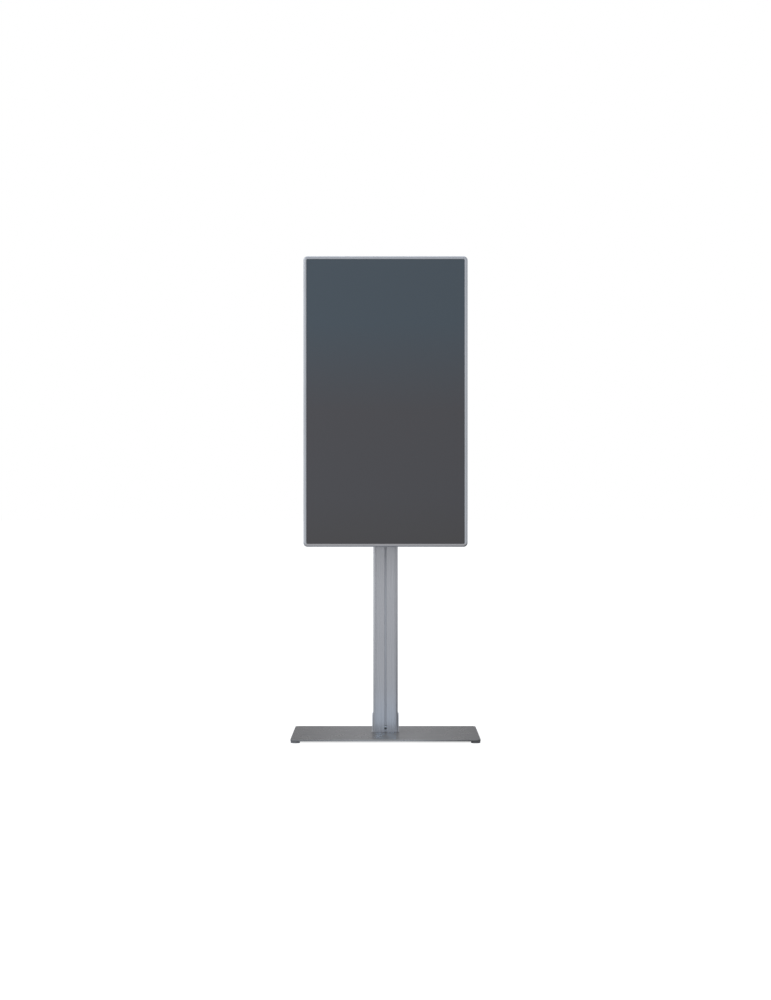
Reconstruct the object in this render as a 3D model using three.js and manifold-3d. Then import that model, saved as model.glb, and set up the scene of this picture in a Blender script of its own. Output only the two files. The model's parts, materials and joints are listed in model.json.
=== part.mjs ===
// Free-standing touchscreen kiosk: a portrait display head on a slotted
// aluminium column, held in a welded foot on a flat steel base plate.
// Millimetres, +Z up, the screen faces -Y, origin on the floor under the
// middle of the base.

import * as THREE from 'three';
import { mergeVertices } from 'three/addons/utils/BufferGeometryUtils.js';
import Module from 'manifold-3d';

const wasm = await Module();
wasm.setup();

// ---------------------------------------------------------------- dimensions
const GAP = 0.3;            // clearance between pieces that touch

const BASE_W = 812, BASE_D = 500, BASE_T = 8, BASE_R = 20;
const FOOT_H = 8;           // underside of the base plate above the floor
const FOOT_R = 20, FOOT_X = 385, FOOT_Y = 229.5, STUD_R = 4;
const DECK = FOOT_H + BASE_T;               // top of the base plate

const COL_W = 108, COL_D = 80, COL_Y = 10;  // column section and its front face
const COL_Z0 = DECK + GAP, COL_Z1 = 1640;
const COL_WALL = 3.5, SLOT_HALF = 4.1, LIP = 4.5, CHAMBER_HALF = 10, CHAMBER_Y = 13, DUCT_Y = 16;
const STRIP_Z0 = 47.5, STRIP_Z1 = 1150;
const SCREW_Z = 33;         // black socket screw in the slot's end block
const CHEEK_T = 4, CHEEK_TOP = 97, CHEEK_SCREW_Z = 62, CHEEK_SCREW_Y = 38;

const HEAD_W = 710, HEAD_H = 1256, HEAD_R = 18;     // outline of the head
const HEAD_Y = -134, HEAD_Z = 1462;                 // front face, middle height
const RAIL_FACE = 13, RAIL_WALL = 3, RAIL_LIP = 1.6, RAIL_D = 45, RAIL_ROUND = 7.5;
const PAN_W = 600, PAN_H = 1080, PAN_RISE = 27, SHEET = 2;
const HEAD_BACK = RAIL_D + PAN_RISE;                // depth of the head, 72
const VESA = 200;           // half of the 400 mm hole square

const PIVOT_Y = -28;        // tilt axis
const CAR_Z0 = 1372, CAR_Z1 = 1552;
const BOLT_DZ = 70;         // carriage bolts above and below the middle

const DOOR = { x0: 76, x1: 256, z0: -482, z1: -232 };   // opening, head frame
const IO = { x0: -256, x1: -76, z0: -482, z1: -332 };   // opening, head frame
const HINGE = { x: 257, d: 75 };                        // door axis, head frame
const LOCK = { x: 92, z: -357 };
const INLET = { x: -218, z: -407 };
const BUTTON = { x: -96, z: -362 };
const PORTS = { x: -130, z: -432 };

// ---------------------------------------------------------------- solids
function toSolid(geometry) {
  const g0 = geometry.clone();
  for (const name of Object.keys(g0.attributes)) if (name !== 'position') g0.deleteAttribute(name);
  const g = mergeVertices(g0, 1e-4);
  const p = g.attributes.position, idx = g.index.array;
  const tri = [];
  for (let i = 0; i < idx.length; i += 3) {
    const [a, b, c] = [idx[i], idx[i + 1], idx[i + 2]];
    if (a !== b && b !== c && c !== a) tri.push(a, b, c);
  }
  let vol = 0;
  const A = new THREE.Vector3(), B = new THREE.Vector3(), C = new THREE.Vector3();
  for (let i = 0; i < tri.length; i += 3) {
    A.fromBufferAttribute(p, tri[i]); B.fromBufferAttribute(p, tri[i + 1]); C.fromBufferAttribute(p, tri[i + 2]);
    vol += A.dot(B.cross(C));
  }
  if (vol < 0) for (let i = 0; i < tri.length; i += 3) [tri[i + 1], tri[i + 2]] = [tri[i + 2], tri[i + 1]];
  return new wasm.Manifold(new wasm.Mesh({
    numProp: 3, vertProperties: new Float32Array(p.array), triVerts: new Uint32Array(tri) }));
}
function toGeometry(solid) {
  const m = solid.getMesh();
  const g = new THREE.BufferGeometry();
  const pos = new Float32Array(m.numVert * 3);
  for (let i = 0; i < m.numVert; i++) for (let k = 0; k < 3; k++) pos[3 * i + k] = m.vertProperties[i * m.numProp + k];
  g.setAttribute('position', new THREE.BufferAttribute(pos, 3));
  g.setIndex(Array.from(m.triVerts));
  g.computeVertexNormals();
  return g;
}
const join = (...s) => s.reduce((a, b) => a.add(b));
const cut = (a, ...s) => s.reduce((x, b) => x.subtract(b), a);
const both = (a, b) => a.intersect(b);

// ---------------------------------------------------------------- shapes
function roundRect(w, h, r, n = 5, cx = 0, cy = 0) {
  const pts = [];
  const corners = [[w / 2 - r, h / 2 - r, 0], [-w / 2 + r, h / 2 - r, 90], [-w / 2 + r, -h / 2 + r, 180], [w / 2 - r, -h / 2 + r, 270]];
  for (const [x, y, a0] of corners) for (let i = 0; i <= n; i++) {
    const a = (a0 + 90 * i / n) * Math.PI / 180;
    pts.push(new THREE.Vector2(cx + x + r * Math.cos(a), cy + y + r * Math.sin(a)));
  }
  return new THREE.Shape(pts);
}
const rect = (x0, y0, x1, y1) => new THREE.Shape([[x0, y0], [x1, y0], [x1, y1], [x0, y1]].map(p => new THREE.Vector2(...p)));
const poly = pts => new THREE.Shape(pts.map(p => new THREE.Vector2(...p)));
const extrude = (shape, depth, extra = {}) => new THREE.ExtrudeGeometry(shape, { depth, bevelEnabled: false, ...extra });

const slabZ = (shape, z0, z1) => toSolid(extrude(shape, z1 - z0).translate(0, 0, z0));
const alongY = g => g.rotateX(Math.PI / 2);             // shape (x, z), depth runs to -Y
const slabY = (shape, y0, y1) => toSolid(alongY(extrude(shape, y1 - y0)).translate(0, y1, 0));
const CYCLE = new THREE.Matrix4().set(0, 0, 1, 0, 1, 0, 0, 0, 0, 1, 0, 0, 0, 0, 0, 1);
const slabX = (shape, x0, x1) => toSolid(extrude(shape, x1 - x0).applyMatrix4(CYCLE).translate(x0, 0, 0)); // shape (y, z)
const block = (x0, x1, y0, y1, z0, z1) =>
  toSolid(new THREE.BoxGeometry(x1 - x0, y1 - y0, z1 - z0).translate((x0 + x1) / 2, (y0 + y1) / 2, (z0 + z1) / 2));
// turned solid about +Z from [radius, height] pairs
const turnZ = (pts, n = 20) => new THREE.LatheGeometry(pts.map(p => new THREE.Vector2(...p)), n).rotateX(Math.PI / 2);
const turned = (pts, axis, at, n = 20) => {
  const g = turnZ(pts, n);
  if (axis === '+y') g.rotateX(-Math.PI / 2);
  if (axis === '-y') g.rotateX(Math.PI / 2);
  if (axis === '+x') g.rotateY(Math.PI / 2);
  if (axis === '-x') g.rotateY(-Math.PI / 2);
  return toSolid(g.translate(...at));
};
const rod = (r, len, axis, at, n = 16) => turned([[0, 0], [r, 0], [r, len], [0, len]], axis, at, n);
// rounded-rectangle prism along Y with a chamfered or rounded rear edge
function pan(w, h, r, y0, y1, size, segments) {
  const flat = y1 - y0 - size;
  const g = extrude(roundRect(w, h, r, 4), flat, {
    bevelEnabled: true, bevelThickness: size, bevelSize: size, bevelOffset: -size, bevelSegments: segments });
  g.rotateX(-Math.PI / 2);                               // depth now runs to +Y, shape y to -Z
  const whole = toSolid(g.translate(0, y0, 0));
  return both(whole, block(-w, w, y0, y1 + 1, -h, h));
}

// ---------------------------------------------------------------- materials
const mat = (color, roughness, metalness) => new THREE.MeshStandardMaterial({ color, roughness, metalness });
const M = {
  alu: mat(0xb9bdc4, 0.42, 0.85), aluCol: mat(0xa9adb5, 0.45, 0.8), steelPaint: mat(0x94969a, 0.5, 0.35),
  glass: mat(0x1c2126, 0.06, 0.0), black: mat(0x17181a, 0.5, 0.1), rubber: mat(0x2b2c2e, 0.85, 0),
  steel: mat(0x8c9096, 0.35, 0.9), zinc: mat(0xa8abae, 0.4, 0.9), grey: mat(0x8f9399, 0.6, 0.1),
  darkPaint: mat(0x3a3c40, 0.6, 0.2), pcb: mat(0x14522c, 0.5, 0.1), white: mat(0xe8e8e6, 0.6, 0), film: mat(0x2a3036, 0.2, 0) };

const kiosk = new THREE.Group();
const head = new THREE.Group();
head.position.set(0, HEAD_Y, HEAD_Z);
kiosk.add(head);
function put(group, name, solid, material) {
  const mesh = new THREE.Mesh(toGeometry(solid), material);
  mesh.name = name;
  group.add(mesh);
}
const stand = (name, solid, material) => put(kiosk, name, solid, material);
const inHead = (name, solid, material) => put(head, name, solid, material);

// ================================================================ base and feet
{
  const bevel = 0.8;
  const g = extrude(roundRect(BASE_W, BASE_D, BASE_R, 6), BASE_T - 2 * bevel, {
    bevelEnabled: true, bevelThickness: bevel, bevelSize: bevel, bevelOffset: -bevel, bevelSegments: 1 });
  let plate = toSolid(g.translate(0, 0, FOOT_H + bevel));
  for (const sx of [-1, 1]) for (const sy of [-1, 1])
    plate = cut(plate, rod(STUD_R + GAP, 7.4, '+z', [sx * FOOT_X, sy * FOOT_Y, FOOT_H - 0.3], 16));
  stand('base_plate', plate, M.steelPaint);

  const foot = [[0, 0], [18.6, 0], [FOOT_R, 1.3], [FOOT_R, 6.3], [18.8, FOOT_H - GAP], [STUD_R, FOOT_H - GAP], [STUD_R, 14.4], [0, 14.4]];
  for (const [fy, sy] of [['front', -1], ['rear', 1]]) for (const [fx, sx] of [['left', -1], ['right', 1]])
    stand(`levelling_foot_${fy}_${fx}`, turned(foot, '+z', [sx * FOOT_X, sy * FOOT_Y, 0], 24), M.rubber);
}

// ================================================================ column
const colY = v => COL_Y + v;
{
  const R = 10, Q = 6, n = 4, H = COL_W / 2;
  const right = [[SLOT_HALF, 0], [41.2, 0], [42, 0.9], [42.8, 0]];
  for (let i = 0; i <= n; i++) { const a = (-90 + 90 * i / n) * Math.PI / 180; right.push([H - R + R * Math.cos(a), R + R * Math.sin(a)]); }
  for (let i = 0; i <= n; i++) { const a = (90 * i / n) * Math.PI / 180; right.push([H - Q + Q * Math.cos(a), COL_D - Q + Q * Math.sin(a)]); }
  right.push([36, COL_D], [36, COL_D - COL_WALL], [H - COL_WALL, COL_D - COL_WALL], [H - COL_WALL, DUCT_Y]);
  const left = right.map(([x, y]) => [-x, y]).reverse();
  const outline = [...right, ...left, [-SLOT_HALF, LIP], [-CHAMBER_HALF, LIP], [-CHAMBER_HALF, CHAMBER_Y], [CHAMBER_HALF, CHAMBER_Y], [CHAMBER_HALF, LIP], [SLOT_HALF, LIP]];
  const section = poly(outline.map(([x, y]) => [x, colY(y)]));
  for (const s of [-1, 1]) {
    const a = s * 13.5, b = s * (H - COL_WALL - 2);
    section.holes.push(rect(Math.min(a, b), colY(3.5), Math.max(a, b), colY(12.8)));
  }
  let column = slabZ(section, COL_Z0, COL_Z1);
  column = cut(column,
    rod(5.6, LIP + 1.1, '+y', [0, colY(-1), SCREW_Z], 20),
    rod(3.3, 5, '+y', [0, colY(CHAMBER_Y - 1), SCREW_Z], 12),
    rod(3.3, 8, '+x', [H - COL_WALL - 2, CHEEK_SCREW_Y, CHEEK_SCREW_Z], 12),
    rod(3.3, 8, '-x', [-H + COL_WALL + 2, CHEEK_SCREW_Y, CHEEK_SCREW_Z], 12));
  stand('column', column, M.aluCol);

  // inlay strip of the front slot: face part and the foot that clips behind the lips
  const strip = poly([[-3.8, 0.5], [3.8, 0.5], [3.8, LIP + GAP], [7, LIP + GAP], [7, 6], [-7, 6], [-7, LIP + GAP], [-3.8, LIP + GAP]].map(([x, y]) => [x, colY(y)]));
  stand('front_slot_strip', slabZ(strip, STRIP_Z0, STRIP_Z1), M.grey);

  // end block with a counterbore for the socket screw
  const endSection = poly([[-3.8, 0.6], [3.8, 0.6], [3.8, LIP + GAP], [9.6, LIP + GAP], [9.6, CHAMBER_Y - GAP], [-9.6, CHAMBER_Y - GAP], [-9.6, LIP + GAP], [-3.8, LIP + GAP]].map(([x, y]) => [x, colY(y)]));
  stand('slot_end_block', cut(slabZ(endSection, COL_Z0 + 0.2, 44),
    rod(5.6, 7.6, '+y', [0, colY(-1), SCREW_Z], 20), rod(3.3, 14, '+y', [0, colY(0), SCREW_Z], 12)), M.zinc);
  stand('slot_end_screw', cut(
    turned([[0, 0], [4.6, 0], [5, 0.5], [5, 5.9], [3, 5.9], [3, 33], [0, 33]], '+y', [0, colY(0.4), SCREW_Z], 20),
    rod(2.9, 3, '+y', [0, colY(0.4) - 0.01, SCREW_Z], 6)), M.black);

  // steel block welded to the base inside the column's foot
  let spigot = block(-H + COL_WALL + GAP, H - COL_WALL - GAP, colY(DUCT_Y + GAP), colY(42), COL_Z0, 95);
  spigot = cut(spigot, rod(3.3, 20, '+y', [0, colY(DUCT_Y), SCREW_Z], 12),
    rod(3.3, 14, '+x', [40, CHEEK_SCREW_Y, CHEEK_SCREW_Z], 12), rod(3.3, 14, '-x', [-40, CHEEK_SCREW_Y, CHEEK_SCREW_Z], 12));
  stand('foot_spigot', spigot, M.steel);

  // plastic cap with a plug that fits the duct
  stand('column_top_cap', join(
    slabZ(roundRect(COL_W, COL_D, 9, 4, 0, colY(COL_D / 2)), COL_Z1 + GAP, COL_Z1 + 4.3),
    block(-49.5, 49.5, colY(17), colY(70), COL_Z1 - 12, COL_Z1 + 1)), M.grey);

  // clip-on cover of the rear duct
  const cover = [[-35.6, 79.6], [-35.6, 77], [-34.8, 77], [-34.8, 76], [-38, 75.2], [-38, 74], [-34.8, 72], [-32.8, 72], [-32.8, 77]];
  const coverPts = [...cover, ...cover.map(([x, y]) => [-x, y]).reverse()].map(([x, y]) => [x, colY(y)]);
  stand('rear_cable_cover', slabZ(poly(coverPts), 60, 1500), M.aluCol);

  // cable outlet in the duct's foot
  stand('cable_grommet', cut(
    slabY(roundRect(71.2, 42.3, 3, 2, 0, 38), colY(76.8), colY(80)),
    rod(13, 8, '+y', [0, colY(75), 37], 20)), M.rubber);
}

// ================================================================ foot cheeks
for (const [name, s] of [['left', -1], ['right', 1]]) {
  const x0 = COL_W / 2 + GAP, x1 = x0 + CHEEK_T;
  const front = [[x0, COL_Z0], [x1 + 5, COL_Z0], [x1 + 1, COL_Z0 + 3.4], [x1, COL_Z0 + 6], [x1, CHEEK_TOP - 3.2], [x1 - 0.7, CHEEK_TOP - 1], [x1 - 1.7, CHEEK_TOP], [x0, CHEEK_TOP]];
  const y0 = colY(10.5), y1 = colY(COL_D - 6.5), r = 16, side = [[y0, COL_Z0 - 1], [y1, COL_Z0 - 1]];
  for (let i = 0; i <= 5; i++) { const a = (90 * i / 5) * Math.PI / 180; side.push([y1 - r + r * Math.cos(a), CHEEK_TOP - r + r * Math.sin(a)]); }
  for (let i = 0; i <= 5; i++) { const a = (90 + 90 * i / 5) * Math.PI / 180; side.push([y0 + r + r * Math.cos(a), CHEEK_TOP - r + r * Math.sin(a)]); }
  let cheek = both(slabY(poly(front.map(([x, z]) => [s * x, z])), y0, y1), slabX(poly(side), s > 0 ? x0 - 1 : -x1 - 6, s > 0 ? x1 + 6 : -x0 + 1));
  // countersunk hole: narrow end at the column, wide end outside
  const cone = g => [[0, 0], [3 + g, 0], [6 + g, CHEEK_T], [6 + g, CHEEK_T + 1], [0, CHEEK_T + 1]];
  cheek = cut(cheek, turned(cone(0.35), s > 0 ? '+x' : '-x', [s * x0, CHEEK_SCREW_Y, CHEEK_SCREW_Z], 16),
    rod(3.35, 2, s > 0 ? '+x' : '-x', [s * (x0 - 1), CHEEK_SCREW_Y, CHEEK_SCREW_Z], 16));
  stand(`foot_cheek_${name}`, cheek, M.aluCol);
  const screw = turned([[0, -12], [3, -12], [3, 0], [5.9, CHEEK_T - 0.1], [0, CHEEK_T - 0.1]], s > 0 ? '+x' : '-x', [s * x0, CHEEK_SCREW_Y, CHEEK_SCREW_Z], 16);
  stand(`cheek_screw_${name}`, cut(screw, rod(2, 2, s > 0 ? '-x' : '+x', [s * (x1 + 0.2), CHEEK_SCREW_Y, CHEEK_SCREW_Z], 6)), M.steel);
}

// ================================================================ height carriage
{
  const earIn = 46, earOut = 50, H = COL_W / 2;
  const web = block(-H - 4.4, H + 4.4, COL_Y - 4.3, COL_Y - GAP, CAR_Z0, CAR_Z1);
  const ear = (a0, a1, r, y1, root) => {
    const pts = [[y1, HEAD_Z + root], [y1, HEAD_Z - root]];
    const side = Math.sign(y1 - PIVOT_Y);
    for (let i = 0; i <= 8; i++) { const t = (-90 + 180 * i / 8) * Math.PI / 180; pts.push([PIVOT_Y - side * r * Math.cos(t), HEAD_Z + r * Math.sin(t)]); }
    return slabX(poly(pts), a0, a1);
  };
  let bracket = web;
  for (const s of [-1, 1]) {
    const [a, b] = [s * (H + 0.4), s * (H + 4.4)].sort((p, q) => p - q);
    bracket = join(bracket, block(a, b, COL_Y - 1, COL_Y + 40, CAR_Z0 + 10, CAR_Z1 - 10));
    const [c, d] = [s * earIn, s * earOut].sort((p, q) => p - q);
    bracket = join(bracket, ear(c, d, 22, COL_Y - 3, 60));
    bracket = cut(bracket, rod(5.35, 8, '+x', [s * 48 - 4, PIVOT_Y, HEAD_Z], 20));
  }
  for (const s of [-1, 1]) bracket = cut(bracket, rod(4.35, 8, '+y', [0, COL_Y - 6, HEAD_Z + s * BOLT_DZ], 14));
  stand('carriage_bracket', bracket, M.steel);

  for (const [name, s] of [['upper', 1], ['lower', -1]]) {
    const z = HEAD_Z + s * BOLT_DZ;
    stand(`carriage_bolt_${name}`, cut(
      turned([[0, 0], [5.2, 0], [7, 2.2], [7, 4.7], [4, 4.7], [4, 21.6], [0, 21.6]], '+y', [0, COL_Y - 9.3, z], 16),
      rod(2.9, 2.5, '+y', [0, COL_Y - 9.31, z], 6)), M.zinc);
    stand(`slot_nut_${name}`, cut(block(-9.5, 9.5, colY(LIP + GAP), colY(12.4), z - 12, z + 12), rod(4.35, 12, '+y', [0, colY(3), z], 14)), M.zinc);
  }
  // pivot bolts: hexagon head outside, threaded into the bracket's ears
  for (const [name, s] of [['left', -1], ['right', 1]]) {
    const axis = s > 0 ? '-x' : '+x';
    const shank = rod(5, 18, axis, [s * 61.5, PIVOT_Y, HEAD_Z], 20);
    const hex = rod(9.8, 6.4, axis, [s * 61.5, PIVOT_Y, HEAD_Z], 6);
    stand(`pivot_bolt_${name}`, join(shank, hex), M.zinc);
  }

  // mounting plate on the head, with the ears that turn on the pivot bolts
  const back = HEAD_BACK + GAP;                            // head frame depth
  const py = PIVOT_Y - HEAD_Y;
  let plateShape = roundRect(440, 440, 24, 4);
  for (const [cx, cz] of [[-125, 0], [125, 0]]) plateShape.holes.push(roundRect(110, 250, 14, 3, cx, cz));
  for (const cz of [-135, 135]) plateShape.holes.push(roundRect(80, 90, 12, 3, 0, cz));
  let plate = slabY(plateShape, back, back + 4);
  const mear = s => {
    const pts = [[back + 1, 62], [back + 1, -62]];
    for (let i = 0; i <= 8; i++) { const t = (-90 + 180 * i / 8) * Math.PI / 180; pts.push([py + 20 * Math.cos(t), 20 * Math.sin(t)]); }
    const [a, b] = [s * 50.4, s * 54.4].sort((p, q) => p - q);
    return slabX(poly(pts), a, b);
  };
  for (const s of [-1, 1]) {
    plate = join(plate, mear(s));
    plate = cut(plate, rod(5.35, 10, '+x', [s * 52.4 - 5, py, 0], 20));
  }
  for (const sx of [-1, 1]) for (const sz of [-1, 1]) plate = cut(plate, rod(4.5, 10, '+y', [sx * VESA, back - 3, sz * VESA], 14));
  inHead('mount_plate', plate, M.darkPaint);
  for (const [nz, sz] of [['upper', 1], ['lower', -1]]) for (const [nx, sx] of [['left', -1], ['right', 1]])
    inHead(`vesa_screw_${nz}_${nx}`, cut(
      turned([[0, 0], [5.2, 0], [7, 2.2], [7, 4.7], [4, 4.7], [4, 25], [0, 25]], '-y', [sx * VESA, back + 4 + GAP + 4.7, sz * VESA], 16),
      rod(2.9, 2.5, '-y', [sx * VESA, back + 4 + GAP + 4.71, sz * VESA], 6)), M.zinc);
}

// ================================================================ head frame
{
  // round the front edge: a pan turned to face -Y
  const g = extrude(roundRect(HEAD_W, HEAD_H, HEAD_R, 6), 60, {
    bevelEnabled: true, bevelThickness: RAIL_ROUND, bevelSize: RAIL_ROUND, bevelOffset: -RAIL_ROUND, bevelSegments: 4 });
  g.rotateX(-Math.PI / 2);
  const blank = both(toSolid(g.translate(0, RAIL_ROUND, 0)), block(-HEAD_W, HEAD_W, -1, RAIL_D, -HEAD_H, HEAD_H));
  const ring = (w0, d0, d1, n = 4) => slabY(roundRect(HEAD_W - 2 * w0, HEAD_H - 2 * w0, HEAD_R - w0, n), d0, d1);
  let frame = cut(blank,
    ring(RAIL_FACE, -2, RAIL_LIP + 1),            // viewing opening
    ring(RAIL_WALL, RAIL_LIP, 21.3),              // room for glass and screen stack
    ring(10, 21, 23.6),                           // inside the first rib
    ring(RAIL_WALL, 23.3, 40.6),                  // corner key channel
    ring(12, 40, 43),                             // inside the second rib
    ring(RAIL_WALL, 42.7, RAIL_D + 1));           // seat of the rear cover
  // mitre the ring into four rails
  const X = HEAD_W / 2 + 5, Z = HEAD_H / 2 + 5, m = 0.15 * Math.SQRT2, k = X - 60;
  const wedge = pts => slabY(poly(pts), -5, RAIL_D + 5);
  const top = [[-X + m, Z], [-X + m + k, Z - k], [X - m - k, Z - k], [X - m, Z]];
  const right = [[X, Z - m], [X - k, Z - m - k], [X - k, -Z + m + k], [X, -Z + m]];
  inHead('frame_rail_top', both(frame, wedge(top)), M.alu);
  inHead('frame_rail_bottom', both(frame, wedge(top.map(([x, z]) => [x, -z]))), M.alu);
  inHead('frame_rail_right', both(frame, wedge(right)), M.alu);
  inHead('frame_rail_left', both(frame, wedge(right.map(([x, z]) => [-x, z]))), M.alu);

  // corner keys lie in the channel behind the first rib
  for (const [nz, sz] of [['top', 1], ['bottom', -1]]) for (const [nx, sx] of [['left', -1], ['right', 1]]) {
    const w = RAIL_WALL + 0.4, t = 4.6, a = HEAD_W / 2 - w, b = HEAD_H / 2 - w, L = 70, c = HEAD_R - w;
    const pts = [[a - L, b], [a - c, b]];
    for (let i = 1; i < 4; i++) { const q = (90 - 22.5 * i) * Math.PI / 180; pts.push([a - c + c * Math.cos(q), b - c + c * Math.sin(q)]); }
    pts.push([a, b - c], [a, b - L], [a - t, b - L], [a - t, b - c], [a - c, b - t], [a - L, b - t]);
    inHead(`corner_key_${nz}_${nx}`, slabY(poly(pts.map(([x, z]) => [sx * x, sz * z])), 27, 37), M.zinc);
  }

  // glass and screen stack, front to back
  const sheet = (w, d0, d1, n = 3) => slabY(roundRect(HEAD_W - 2 * w, HEAD_H - 2 * w, Math.max(HEAD_R - w, 2), n), d0, d1);
  inHead('cover_glass', sheet(4, RAIL_LIP + GAP, 5.9, 4), M.glass);
  inHead('touch_film', sheet(7, 6.2, 6.8), M.film);
  inHead('glass_gasket', cut(sheet(4, 7.1, 8.9), sheet(10, 6, 10)), M.black);
  inHead('lcd_cell', sheet(8, 9.2, 11.4), M.black);
  inHead('optical_sheets', sheet(8.5, 11.7, 13), M.white);
  inHead('light_guide', block(-339, 339, 13.3, 17.3, -614, 614), M.white);
  for (const [name, s] of [['left', -1], ['right', 1]]) {
    const [a, b] = [s * 340.5, s * 345].sort((p, q) => p - q);
    inHead(`led_bar_${name}`, block(a, b, 13.4, 19, -605, 605), M.white);
  }
  // steel tray with four bosses for the mounting screws
  let tray = cut(sheet(4.2, 9.2, 21), sheet(6.2, 8, 19.4));
  for (const sx of [-1, 1]) for (const sz of [-1, 1]) {
    tray = join(tray, rod(8, HEAD_BACK - SHEET - GAP - 20, '+y', [sx * VESA, 20, sz * VESA], 14));
    tray = cut(tray, rod(4.35, 22, '-y', [sx * VESA, HEAD_BACK - SHEET, sz * VESA], 14));
  }
  inHead('backlight_tray', tray, M.zinc);
}

// ================================================================ rear of the head
{
  const W = HEAD_W - 2 * (RAIL_WALL + GAP), H = HEAD_H - 2 * (RAIL_WALL + GAP);
  let cover = slabY(roundRect(W, H, HEAD_R - RAIL_WALL - GAP, 4), RAIL_D - SHEET, RAIL_D);
  cover = join(cover, pan(PAN_W, PAN_H, 30, RAIL_D - SHEET, HEAD_BACK, PAN_RISE, 1));
  cover = cut(cover, pan(PAN_W - 4, PAN_H - 4, 28, RAIL_D - SHEET - 3, HEAD_BACK - SHEET, PAN_RISE, 1));
  const hole = (x0, x1, z0, z1, r = 4) => slabY(roundRect(x1 - x0, z1 - z0, r, 3, (x0 + x1) / 2, (z0 + z1) / 2), RAIL_D - 10, HEAD_BACK + 5);
  const slit = (x0, x1, z0, z1) => block(x0, x1, RAIL_D - 10, HEAD_BACK + 5, z0, z1);
  cover = cut(cover, hole(DOOR.x0, DOOR.x1, DOOR.z0, DOOR.z1), hole(IO.x0, IO.x1, IO.z0, IO.z1));
  for (const sx of [-1, 1]) for (const sz of [-1, 1]) cover = cut(cover, rod(4.5, 8, '+y', [sx * VESA, HEAD_BACK - 5, sz * VESA], 14));
  for (let i = -9; i <= 9; i++) cover = cut(cover, slit(i * 14 - 1.9, i * 14 + 1.9, 410, 470));
  for (let i = -3; i <= 3; i++) cover = cut(cover, slit(i * 14 - 1.9, i * 14 + 1.9, -470, -410));
  for (const s of [-1, 1]) for (let i = 0; i < 9; i++) cover = cut(cover, slit(s * (150 + i * 12) - 1.9, s * (150 + i * 12) + 1.9, -592, -564));
  // hinge lugs beside the door, each with a hole for a pintle
  const lug = (z0, z1, zh0, zh1) => cut(join(
    block(HINGE.x - 2.5, HINGE.x + 4, HEAD_BACK + 0.4, HINGE.d + 3, z0, z1), block(DOOR.x1, HINGE.x + 4, HEAD_BACK - 0.5, HINGE.d, z0, z1)),
    rod(1.5, zh1 - zh0, '+z', [HINGE.x, HINGE.d, zh0], 10));
  const mid = (DOOR.z0 + DOOR.z1) / 2, spans = [];
  for (const s of [-1, 1]) {
    const c = mid + s * 85;
    cover = join(cover, lug(c - 25, c - 15.4, c - 21.5, c - 14), lug(c + 15.4, c + 25, c + 14, c + 21.5));
    spans.push(c);
  }
  inHead('rear_cover', cover, M.darkPaint);

  // service door with two hinge barrels and their pintles
  let door = slabY(roundRect(DOOR.x1 - DOOR.x0 - 1, DOOR.z1 - DOOR.z0 - 1, 3.5, 3, (DOOR.x0 + DOOR.x1) / 2, mid), HEAD_BACK - SHEET, HEAD_BACK);
  for (const c of spans) {
    door = join(door, block(HINGE.x - 9, HINGE.x, HEAD_BACK - 1, HINGE.d, c - 15, c + 15));
    door = cut(door, block(DOOR.x1 - 0.5, HINGE.x + 5, HEAD_BACK - 3, HEAD_BACK + 0.5, c - 16, c + 16),
      block(DOOR.x1 - 2.7, HINGE.x + 5, HEAD_BACK - 3, HEAD_BACK + 0.01, c - 26, c + 26));
    door = join(door, turned([[0, -20.5], [1.2, -20.5], [1.2, -15], [2.5, -15], [2.5, 15], [1.2, 15], [1.2, 20.5], [0, 20.5]], '+z', [HINGE.x, HINGE.d, c], 14));
  }
  door = cut(door, rod(8.35, 8, '+y', [LOCK.x, HEAD_BACK - 5, LOCK.z], 20));
  inHead('service_door', door, M.darkPaint);
  // cam lock, drawn unlocked: the cam hangs down inside the door's outline
  let lock = turned([[0, 0], [8, 0], [8, 15.7], [10, 15.7], [10, 17], [9, 18], [0, 18]], '+y', [LOCK.x, HEAD_BACK - 15.4, LOCK.z], 20);
  lock = join(lock, block(LOCK.x - 6, LOCK.x + 6, HEAD_BACK - 5.6, HEAD_BACK - 2.8, LOCK.z - 26, LOCK.z));
  lock = cut(lock, block(LOCK.x - 0.8, LOCK.x + 0.8, HEAD_BACK - 2, HEAD_BACK + 5, LOCK.z - 4, LOCK.z + 4));
  inHead('door_lock', lock, M.zinc);

  // connection panel
  const px = (IO.x0 + IO.x1) / 2, pz = (IO.z0 + IO.z1) / 2;
  let io = slabY(roundRect(IO.x1 - IO.x0 - 0.6, IO.z1 - IO.z0 - 0.6, 3.7, 3, px, pz), HEAD_BACK - SHEET, HEAD_BACK);
  io = cut(io, slabY(roundRect(28.6, 54.6, 2, 2, INLET.x, INLET.z), 60, 80), rod(6.4, 8, '+y', [BUTTON.x, HEAD_BACK - 5, BUTTON.z], 20),
    block(PORTS.x - 45.3, PORTS.x + 45.3, 60, 80, PORTS.z - 8.3, PORTS.z + 8.3));
  inHead('io_panel', io, M.black);
  // mains inlet with a rocker bay above it
  const F = HEAD_BACK + GAP;
  let inlet = join(slabY(roundRect(28, 54, 2, 2, INLET.x, INLET.z), HEAD_BACK - 24, F + 0.5), slabY(roundRect(34, 60, 3, 2, INLET.x, INLET.z), F, F + 1.6));
  inlet = cut(inlet,
    slabY(poly([[-12.3, -8], [12.3, -8], [12.3, 4], [8, 8.4], [-8, 8.4], [-12.3, 4]].map(([x, z]) => [INLET.x + x, INLET.z - 12 + z])), HEAD_BACK - 16, F + 5),
    slabY(rect(INLET.x - 11, INLET.z + 3, INLET.x + 11, INLET.z + 23), HEAD_BACK - 10, F + 5));
  inHead('power_inlet', inlet, M.black);
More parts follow.
